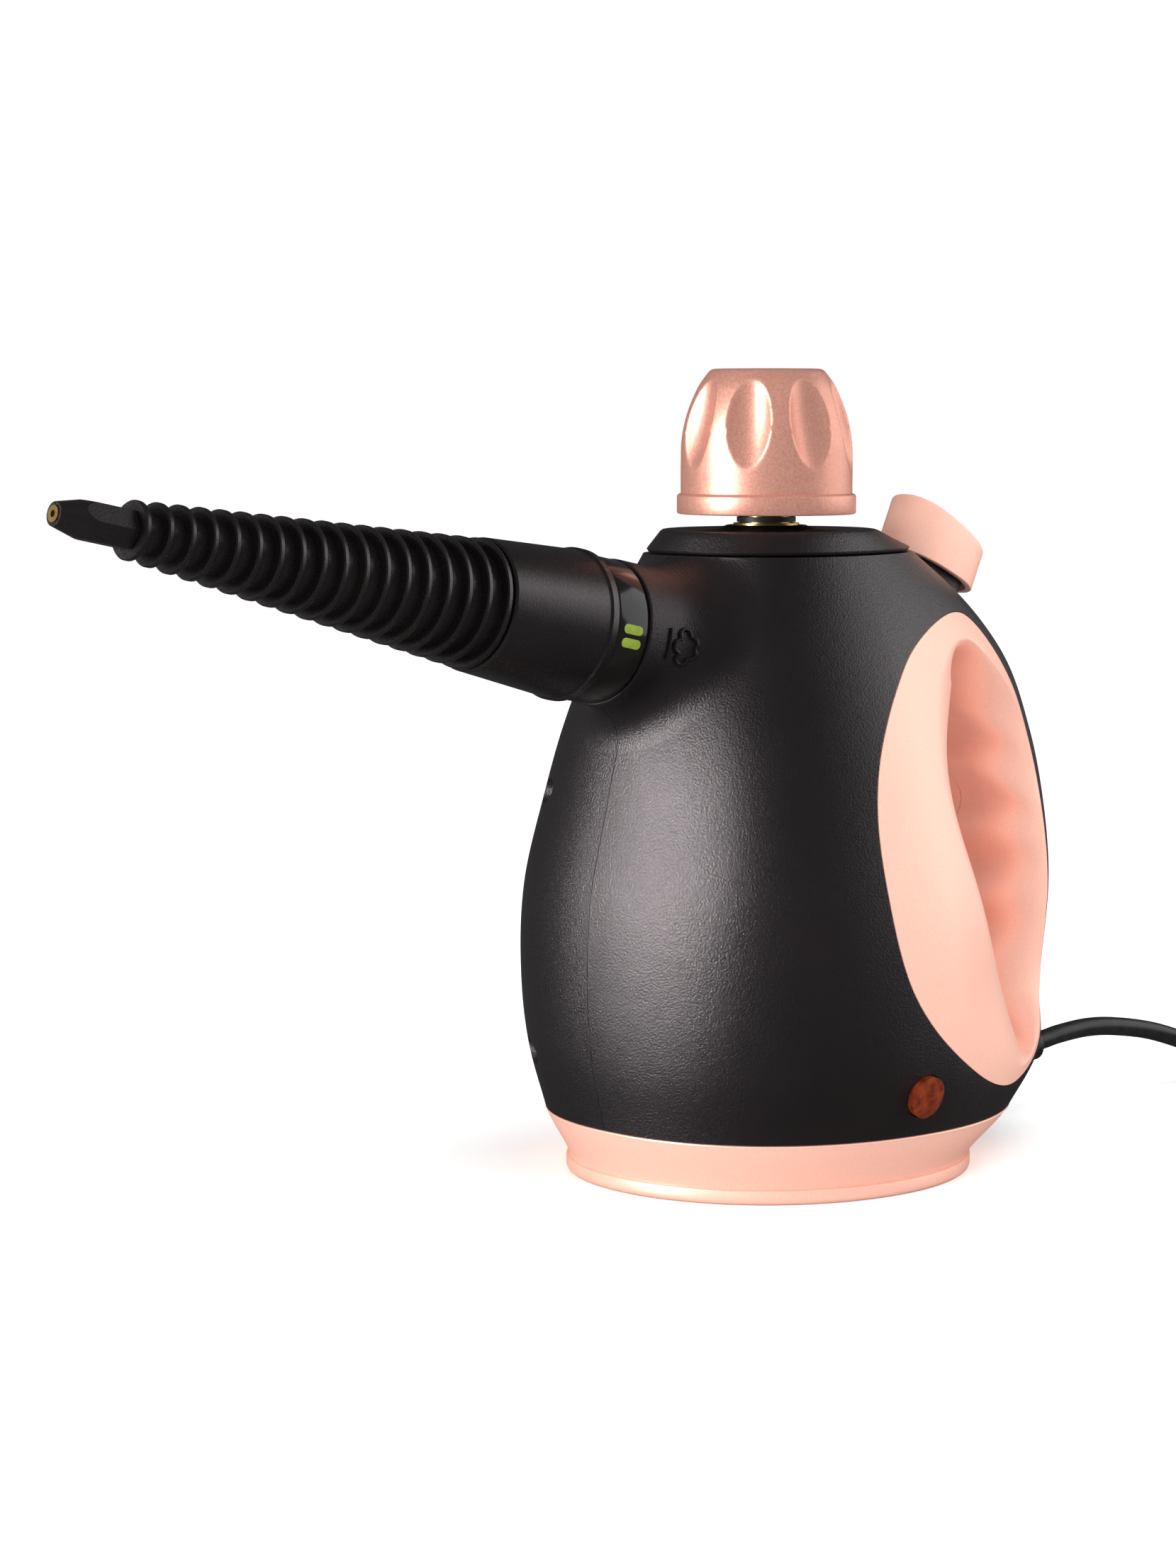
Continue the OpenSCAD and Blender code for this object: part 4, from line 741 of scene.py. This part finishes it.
# point of the finger opening's wall, at a depth y and a turn round it
def gripPoint(y, grow, turn, g, share=None):
    if share is None:
        share = 1 - smooth(y / g["grooveFade"])
    f = smooth(y / (shell["bellyW"] / 2)) ** g["flare"]
    c, d = math.cos(2 * math.pi * turn), math.sin(2 * math.pi * turn)
    half = g["high"] / 2
    z = g["low"] + half + (half + grow + g["spread"] * f) * signedPower(c, g["square"])
    s = min(max((z - g["low"]) / g["high"], 0), 1)
    x1, x2 = gripFront(s, f, g) + grow, gripBack(s, f, g, share) - grow
    return np.array([(x1 + x2) / 2 + (x1 - x2) / 2 * signedPower(d, g["square"]), y, z])


def onBody(p, inset):
    return np.array([p[0], bodyY(p[0], p[1]) - inset, p[1]])


# w runs from the outline (0) over the lip (1) and its roll (2) to the middle of the opening (4)
def panelPoint(i, w, inset, g):
    turn = i / len(leafLine)
    s = curveAt(g["lip"], turn)
    edge = leafLine[i]
    m = gripPoint(g["rimAt"] * shell["bellyW"], inset, turn, g)[[0, 2]]
    if w <= 1:
        return onBody(mixed(edge, m, s * w), inset)
    q = min(max(curveAt(g["roll"], turn), 0), 1)
    start, rim = onBody(mixed(edge, m, s), inset), onBody(m, inset)
    bar = gripPoint(0, inset, turn, g, g["cornerShare"])
    corner = mixed(rim, np.array([bar[0] + g["cornerOut"], g["cornerSide"] * start[1],
                                  mixed(start[2], bar[2], 0.5)]), q)
    share = mixed(*g["reach"], smooth((s - g["reachFrom"]) / g["reachOver"]))
    deep = gripPoint(mixed(share * rim[1], g["barReach"] * start[1], q), inset, turn, g)
    if w <= 2:
        t = w - 1
        return start * (1 - t) ** 2 + corner * 2 * t * (1 - t) + deep * t * t
    return gripPoint(mixed(deep[1], shell["seam"] / 2, (w - 2) / 2), inset, turn, g)


def makePanel(g):
    levels = [(w, 0) for w in g["outer"]] + [(w, shell["wall"]) for w in g["inner"]]
    return ringLoop("leftPanel", [[panelPoint(i, w, inset, g) for i in range(len(leafLine))]
                                  for w, inset in levels])


leftPanel = makePanel(gripSet)
rightPanel = mirrorCopy(leftPanel, "rightPanel")
finishPiece(smoothShade(leftPanel, 40), "rose", "base", "rose_metallic", "left_grip_panel")
finishPiece(smoothShade(rightPanel, 40), "rose", "base", "rose_metallic", "right_grip_panel")
print("grip panels made, faces:", len(leftPanel.data.polygons))

# base cover
coverSet = {"footFront": 58.8, "footBack": 63.6, "footW": 115.6, "footWidest": -2.4,
            "footPower": 2.05, "footH": 4.2, "footStep": 0.9, "floor": 3.0, "lip": 21.7,
            "lipWall": 1.6, "ease": 0.35, "around": 144, "wallSteps": 12,
            "footEdge": ((0, 1.5), (0.12, 0.9), (0.5, 0.35), (1.1, 0.05), (1.6, 0)),
            "footTop": ((-0.5, 0), (-0.1, 0.15), (0, 0.45)), "footGap": 0.05, "wallStart": 0.4,
            "wallTop": ((-0.5, 0), (-0.15, 0.12), (0, 0.4)), "innerAt": (0.7, 0.35),
            "screws": [(36, 36), (-44, 30)], "bossR": 4.2, "bossTop": 12, "holeR": 1.8, "holeTop": 40,
            "headR": 3.5, "headTop": 7, "below": -1, "sink": 0.5,
            "postRing": 31.0, "posts": 4, "postR": 3.4, "postTop": 35.8}


def footRing(z, inset, s):
    line = sectionPoints(s["footFront"] - inset, s["footBack"] - inset, s["footW"] / 2 - inset,
                         s["footWidest"], 1, s["footPower"], s["around"])
    return [(x, y, z) for x, y in line]


def coverRing(t, inset, s, z):
    e = mixed(t, smooth(t), s["ease"])
    step = s["footStep"]
    line = sectionPoints(mixed(s["footFront"] - step, shell["baseFront"], e) - inset,
                         mixed(s["footBack"] - step, shell["baseBack"], e) - inset,
                         mixed(s["footW"] / 2 - step, shell["baseW"] / 2, e) - inset,
                         mixed(s["footWidest"], shell["baseWidest"], e), 1,
                         mixed(s["footPower"], shell["power"], e), s["around"])
    return [(x, y, z) for x, y in line]


def makeCover(s):
    top, inner = shell["baseH"], shell["wall"] + shell["fit"]
    lip = inner + s["lipWall"]

    def wallZ(t):
        return mixed(s["footH"] + s["wallStart"], top, t)
    rings = [footRing(z, inset, s) for z, inset in s["footEdge"]]
    rings += [footRing(s["footH"] + up, inset, s) for up, inset in s["footTop"]]
    rings += [coverRing(0, s["footGap"], s, s["footH"] + s["footGap"])]
    for t in (i / s["wallSteps"] for i in range(s["wallSteps"])):
        rings.append(coverRing(t, 0, s, wallZ(t)))
    rings += [coverRing(1, inset, s, top + up) for up, inset in s["wallTop"]]
    for inset, z in ((inner, top), (inner, s["lip"]), (lip, s["lip"])):
        rings.append(coverRing(1, inset, s, z))
    rings += [coverRing(t, lip, s, wallZ(t)) for t in s["innerAt"]]
    rings += [coverRing(0, lip, s, s["floor"])]
    cover = ringSolid("baseShell", rings)

    def pin(name, x, y, low, high, radius, operation="DIFFERENCE", count=32):
        cutBy(cover, roundBar(name, (x, y, low), (x, y, high), radius, count), operation)
    for x, y in [(x, y * k) for x, y in s["screws"] for k in (-1, 1)]:
        pin("bossTool", x, y, s["floor"] - s["sink"], s["bossTop"], s["bossR"], "UNION")
        pin("holeTool", x, y, s["below"], s["holeTop"], s["holeR"], count=24)
        pin("headTool", x, y, s["below"], s["headTop"], s["headR"])
    for i in range(s["posts"]):
        a = math.pi / s["posts"] * (2 * i + 1)
        x, y = s["postRing"] * math.cos(a), s["postRing"] * math.sin(a)
        pin("postTool", x, y, s["floor"] - s["sink"], s["postTop"], s["postR"], "UNION")
    return cutBy(cover, glandTool(openingSet))


baseShell = makeCover(coverSet)
finishPiece(smoothShade(baseShell), "rose", "base", "rose_metallic", "base_cover")
print("base cover made, faces:", len(baseShell.data.polygons))

# collar round the filler neck
collarSet = {"low": topZ + 0.2, "top": topZ + 7.0, "radius": 30.5, "neck": 9.6, "crown": 2.2,
             "around": 144, "edge": ((2.0, 0), (1.5, 0.25), (1.1, 0.8)), "foot": (1, 1.2), "back": 3,
             "rise": (0, 0.3, 0.6, 0.9), "brim": ((-0.25, 2.75, -0.1), (-0.8, 2, 0), (-2, -1, -0.35)),
             "dishIn": 3, "dishOut": 5, "dishDepth": 0.6, "dishAt": (24, 20)}


def makeCollar(s):
    low, top, neck, r = s["low"], s["top"], s["neck"], s["radius"]

    def bodyLine(inset, z):
        return [(x, y, z) for x, y, old in bodyRing(topZ, inset, s["around"])]

    def roundLine(front, back, z):
        return [(x, y, z) for x, y in sectionPoints(front, back, front, 0, 1, 2, s["around"])]
    foot = np.array(bodyLine(s["foot"][0], low + s["foot"][1]))
    head = np.array(roundLine(r, r + s["back"], top))
    rings = [bodyLine(inset, low + up) for inset, up in s["edge"]]
    rings += [mixed(foot, head, t) for t in s["rise"]]
    rings += [roundLine(r + front, r + back, top + up) for front, back, up in s["brim"]]
    start, end = r - s["dishIn"], neck + s["dishOut"]
    for q in (start, *s["dishAt"], end):
        dish = s["dishDepth"] * (((start - q) / (start - end)) ** 2 - 1)
        rings.append(roundLine(q, q, top + dish))
    crown = top + s["crown"]
    rings += [roundLine(neck + out, neck + out, z) for out, z in (
        (2.4, crown - 1.2), (2, crown - 1), (0.3, crown - 1), (0.3, top - 2), (3, top - 2), (3, low))]
    return ringLoop("collarShell", rings)


collarShell = makeCollar(collarSet)
finishPiece(smoothShade(collarShell), "housing", "base", "black_plastic", "top_collar")

# screw cap with its flutes
capSet = {"low": topZ + 11.4, "radius": 26.1, "height": 42.0, "topR": 16.2, "flutes": 8, "turn": 33.0,
          "fluteR": 9.0, "fluteIn": 29.3, "fluteHalf": 31.1, "fluteAt": 0.62, "tilt": 14.0,
          "around": 288, "levels": 64, "soft": 0.5, "disc": 17.3, "discTop": 16.3, "discLow": 5.5,
          "wall": 2.4, "skirt": (6.05, 1.3), "side": ((6.0, 1.1), (15, 1.1), (21.2, 1.3), (27.4, 2.4)),
          "shoulder": (0.8, 4.6), "bend": (0.91, 0.45), "brow": (1.2, 1),
          "rim": ((0.7, 0), (0.2, 0.15), (0, 0.6), (0, 5.0), (0.1, 5.4), (0.45, 5.75), (0.9, 5.95)),
          "crest": ((0.75, 0.62), (0.35, 0.1), (0.1, -0.5), (0, -1.4))}


def makeCap(s):
    low, r, h, top = s["low"], s["radius"], s["height"], s["topR"]
    shoulder = r - s["shoulder"][1]
    keys = [(z, r - inset) for z, inset in s["side"]]
    keys += [(s["shoulder"][0] * h, shoulder), (s["bend"][0] * h, mixed(shoulder, top, s["bend"][1])),
             (h - s["brow"][0], top + s["brow"][1])]
    tilt = math.radians(s["tilt"])
    step = 360 / s["flutes"]

    # radius at a turn: the plain one, or a tilted barrel's cut into it
    def outerRadius(z, plain, angle):
        v = (z - s["fluteAt"] * h) / math.cos(tilt)
        if abs(v) >= s["fluteHalf"]:
            return plain
        rho = s["fluteR"] * (1 - (v / s["fluteHalf"]) ** 2)
        axis = s["fluteIn"] - v * math.sin(tilt)
        phi = math.radians((math.degrees(angle) - s["turn"] + step / 2) % step - step / 2)
        under = rho ** 2 - (axis * math.sin(phi)) ** 2
        if under <= 0:
            return plain
        cut = axis * math.cos(phi) - math.sqrt(under)
        k = max(s["soft"] - abs(plain - cut), 0) / s["soft"]
        return min(plain, cut) - k * k * s["soft"] / 4

    def circle(radius, z):
        return [(radius * math.cos(a), radius * math.sin(a), low + z) for a in turnsOf(s["around"])]

    def fluted(z, plain):
        line = [(a, outerRadius(z, plain, a)) for a in turnsOf(s["around"])]
        return [(q * math.cos(a), q * math.sin(a), low + z) for a, q in line]
    inside = r - s["wall"]
    rings = [circle(q, z) for q, z in (
        (10, h - 4), (top - 1, h - 6), (15, s["discTop"]), (s["disc"], s["discTop"]),
        (s["disc"], s["discLow"]), (inside, s["discLow"]), (inside, 0.2), (inside + 0.2, 0))]
    rings += [circle(r - inset, z) for inset, z in s["rim"]]
    start, end = s["skirt"][0], h - s["skirt"][1]
    rings += [fluted(z, curveAt(keys, z)) for z in levelHeights(start, end, s["levels"] + 1)]
    rings += [fluted(h - down, top + out) for down, out in s["crest"]]
    return ringSolid("capShell", rings)


capShell = makeCap(capSet)
# the cap gets the darker copy of the rose coat, whose lower colours are painted shade
finishPiece(smoothShade(capShell, 40), "roseCapShaded", "cap", "rose_metallic", "cap_knob")
print("collar and cap made")

# trigger button
buttonSet = {"length": 36.0, "width": 22.0, "frontH": 17.6, "backH": 12.6, "wall": 1.8, "roof": 0.9,
             "edge": 1.1, "edgeSteps": 7, "around": 72, "power": 0.83, "crown": 4}


def makeButton(s):
    def oval(inset):
        line = ovalLine(s["length"] - 2 * inset, s["width"] - 2 * inset, s["around"], s["power"])
        return [(x + inset, y) for x, y in line]

    def level(inset, z):
        return [onTrigger(x, y, z) for x, y in oval(inset)]

    def sloped(inset, below):
        return [onTrigger(x, y, mixed(s["frontH"], s["backH"], x / s["length"]) - below)
                for x, y in oval(inset)]
    e, w = s["edge"], s["wall"]
    rings = [sloped(w, s["roof"])]
    rings += [level(inset, z) for inset, z in (
        (w, 0.1), (w - 0.1, 0), (0.25, 0), (0, 0.25), (0, s["backH"] * 0.5))]
    for a in (math.pi / 2 * i / s["edgeSteps"] for i in range(s["edgeSteps"] + 1)):
        rings.append(sloped(e * (1 - math.cos(a)), e * (1 - math.sin(a))))
    return ringSolid("buttonShell", rings + [sloped(s["crown"], 0)])


buttonShell = makeButton(buttonSet)
finishPiece(smoothShade(buttonShell, 40), "rose", "trigger", "rose_metallic", "trigger_button")

# springs: copies of the solids' own coils
springSet = {"buttonX": 26.0, "buttonFoot": -9.8, "buttonKeep": 0.74, "capFoot": 202.8,
             "capKeep": 0.88}


def makeSpring(name, node, body):
    return finishPiece(plainCopy(nodes[node], name), "steel", body, "steel", node)


buttonSpring = makeSpring("buttonSpring", "trigger_spring", "base")
springFoot = onTrigger(springSet["buttonX"], 0, springSet["buttonFoot"])
springWay = onTrigger(springSet["buttonX"], 0, 0) - springFoot
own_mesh(buttonSpring)
capSpring = makeSpring("capSpring", "cap_spring", "cap_screw")
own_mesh(capSpring)

# gloss ring with two pill marks
ringSet = {"low": 66.8, "length": 11.5, "radius": 20.6, "inner": 17.3, "around": 160,
           "edge": ((0.9, 0), (0.35, 0.12), (0.08, 0.45), (0, 0.9)), "pillLength": 7.0, "pillW": 2.7,
           "pillAt": 86.0, "pillTurn": 5.4, "pillAround": 16,
           "pillEdge": ((0, -0.3), (0, 0.05), (0.06, 0.1), (0.2, 0.12), (1, 0.12))}


def makeRing(s):
    low, end, r = s["low"], s["low"] + s["length"], s["radius"]
    profile = [(s["inner"], low)] + [(r - inset, low + up) for inset, up in s["edge"]]
    profile += [(r, low + s["length"] / 2)] + [(r - inset, end - up) for inset, up in s["edge"][::-1]]
    return ringLoop("ringShell", turnedOnNozzle(profile + [(s["inner"], end)], s["around"]))


def makePill(name, degrees, s):
    start = s["low"] + s["length"] / 2 - s["pillLength"] / 2
    a, r = math.radians(degrees), s["radius"]
    rings = []
    for inset, out in s["pillEdge"]:
        line = stadiumLine(s["pillLength"] - 2 * inset, s["pillW"] - 2 * inset, s["pillAround"])
        rings.append([onNozzle(r + out, a + y / r, start + inset + x) for x, y in line])
    return ringSolid(name, rings)


ringShell = makeRing(ringSet)
finishPiece(smoothShade(ringShell), "gloss", "base", "gloss_black", "lock_ring")
pills = [makePill("pillMark%d" % k, ringSet["pillAt"] + ringSet["pillTurn"] * side, ringSet)
         for k, side in enumerate((-1, 1))]
for pill in pills:
    finishPiece(smoothShade(pill), "mark", "base", "mark_green", "lock_marks")
print("button, springs, ring and marks made")

# raised steam sign on the neck: a bar and a cloud
signSet = {"turn": 87.0, "at": 54.5, "line": 0.55, "stand": 0.3, "around": 10, "steps": 6,
           "cloud": [(-2.2, 0.9), (-0.6, 1.9), (-0.9, 3.5), (0.3, 4.7), (2.0, 4.4), (2.6, 3.0),
                     (3.9, 2.4), (4.4, 1.1), (3.8, -0.2), (4.2, -1.6), (3.2, -2.8), (2.0, -3.2),
                     (1.4, -4.6), (-0.2, -4.8), (-1.2, -3.6), (-0.7, -2.1), (-2.2, -1.1)],
           "bar": [(-4.4, 4.3), (-4.4, 1.5), (-4.4, -1.5), (-4.4, -4.3)]}


def tubeLine(name, points, s, closed):
    across, outwards = Vector((0, 1, 0)), nozzleTurn.to_3x3() @ Vector((1, 0, 0))
    rings = []
    n = len(points)
    for i, p in enumerate(points):
        ahead = points[(i + 1) % n] if closed or i + 1 < n else p
        behind = points[i - 1] if closed or i > 0 else p
        way = (Vector(ahead) - Vector(behind)).normalized()
        side = way.cross(outwards if abs(way.dot(across)) > 0.9 else across).normalized()
        rings.append(circleOn(p, side, side.cross(way), s["line"], s["around"]))
    return ringLoop(name, rings) if closed else ringSolid(name, rings)


def signPoint(x, y, s):
    neck, fillet = housingSet["neckR"], housingSet["fillet"]
    at, a = s["at"] - x, math.radians(s["turn"]) + y / neck

    def inFillet(r):
        lift = fillet - math.sqrt(fillet ** 2 - (neck + fillet - r) ** 2)
        return footAt(r, a) + lift > at
    r = lastHolding(neck, neck + fillet, inFillet, steps=20)
    return onNozzle(r + s["stand"], a, at)


for label, closed in (("cloud", True), ("bar", False)):
    line = splinePoints(signSet[label], signSet["steps"], closed)
    points = [signPoint(p[0], p[1], signSet) for p in line]
    sign = tubeLine("sign_" + label, points, signSet, closed)
    finishPiece(smoothShade(sign, 60), "nozzle", "base", "black_plastic")
print("sign made")

# floor, lights and background; a box's use says which rays see it
stageSet = {"floor": 30.0, "aim": (-0.01, 0.0, 0.11), "paper": 0.93, "paperGlow": 0.12,
            "paperReflectedShade": 0.06,
            "world": {"camera": 1.0, "transmission": 1.0, "glossy": 0.07, "other": 0.98},
            "boxes": [("stripBox", (1.36, -0.3, 0.36), 0.12, 0.75, 28, "glossy"),
                      ("sideBox", (-1.2, 0.6, 0.45), 1.4, 1.3, 7.5, "both"),
                      ("upBox", (0.1, 0.8, 1.3), 0.9, 0.9, 7.5, "diffuse"),
                      ("lowBox", (1.1, 0.7, 0.05), 0.8, 0.3, 10, "diffuse"),
                      ("frontBox", (1.2, -0.25, 0.15), 0.6, 0.4, 9, "diffuse")]}
clearSelection()
bpy.ops.mesh.primitive_plane_add(size=stageSet["floor"])
floor = bpy.context.object
floor.name = "studioFloor"
floorFinish, floorTree, floorShader = newFinish("floorPaper", **{
    "Roughness": 1.0, "Specular IOR Level": 0.0, "Emission Color": (1, 1, 1, 1)})
floorRays = floorTree.nodes.new("ShaderNodeLightPath")
# in glossy rays the floor takes a near black colour: painted shade on its reflection in the object
paper = floorTree.nodes.new("ShaderNodeMix")
paper.data_type = "RGBA"
paper.inputs["A"].default_value = (*[stageSet["paper"]] * 3, 1)
paper.inputs["B"].default_value = (*[stageSet["paperReflectedShade"]] * 3, 1)
floorTree.links.new(floorRays.outputs["Is Glossy Ray"], paper.inputs["Factor"])
floorTree.links.new(paper.outputs["Result"], floorShader.inputs["Base Color"])
glow = floorTree.nodes.new("ShaderNodeMath")
glow.operation = "MULTIPLY"
glow.inputs[1].default_value = stageSet["paperGlow"]
floorTree.links.new(floorRays.outputs["Is Camera Ray"], glow.inputs[0])
floorTree.links.new(glow.outputs["Value"], floorShader.inputs["Emission Strength"])
floor.data.materials.append(floorFinish)
for name, place, width, height, power, use in stageSet["boxes"]:
    light = bpy.data.lights.new(name, "AREA")
    light.shape = "RECTANGLE"
    light.size = width
    light.size_y = height
    light.energy = power
    softbox = linked(name, light)
    softbox.location = place
    softbox.visible_diffuse = use != "glossy"
    softbox.visible_glossy = use != "diffuse"
    aim = Vector(stageSet["aim"]) - Vector(place)
    softbox.rotation_euler = aim.to_track_quat("-Z", "Y").to_euler()
world = bpy.data.worlds.new("studioWorld")
bpy.context.scene.world = world
world.use_nodes = True
worldTree = world.node_tree
backdrop = worldTree.nodes["Background"]
rays = worldTree.nodes.new("ShaderNodeLightPath")
levels = stageSet["world"]
previous = None
for ray in ("glossy", "transmission", "camera"):
    shade = worldTree.nodes.new("ShaderNodeMix")
    shade.data_type = "FLOAT"
    shade.inputs["A"].default_value = levels["other"]
    shade.inputs["B"].default_value = levels[ray]
    worldTree.links.new(rays.outputs["Is %s Ray" % ray.capitalize()], shade.inputs["Factor"])
    if previous:
        worldTree.links.new(previous.outputs["Result"], shade.inputs["A"])
    previous = shade
worldTree.links.new(previous.outputs["Result"], backdrop.inputs["Strength"])
backdrop.inputs["Color"].default_value = (1, 1, 1, 1)
bpy.context.scene.view_settings.view_transform = "Standard"
print("stage set")

bpy.context.view_layer.update()
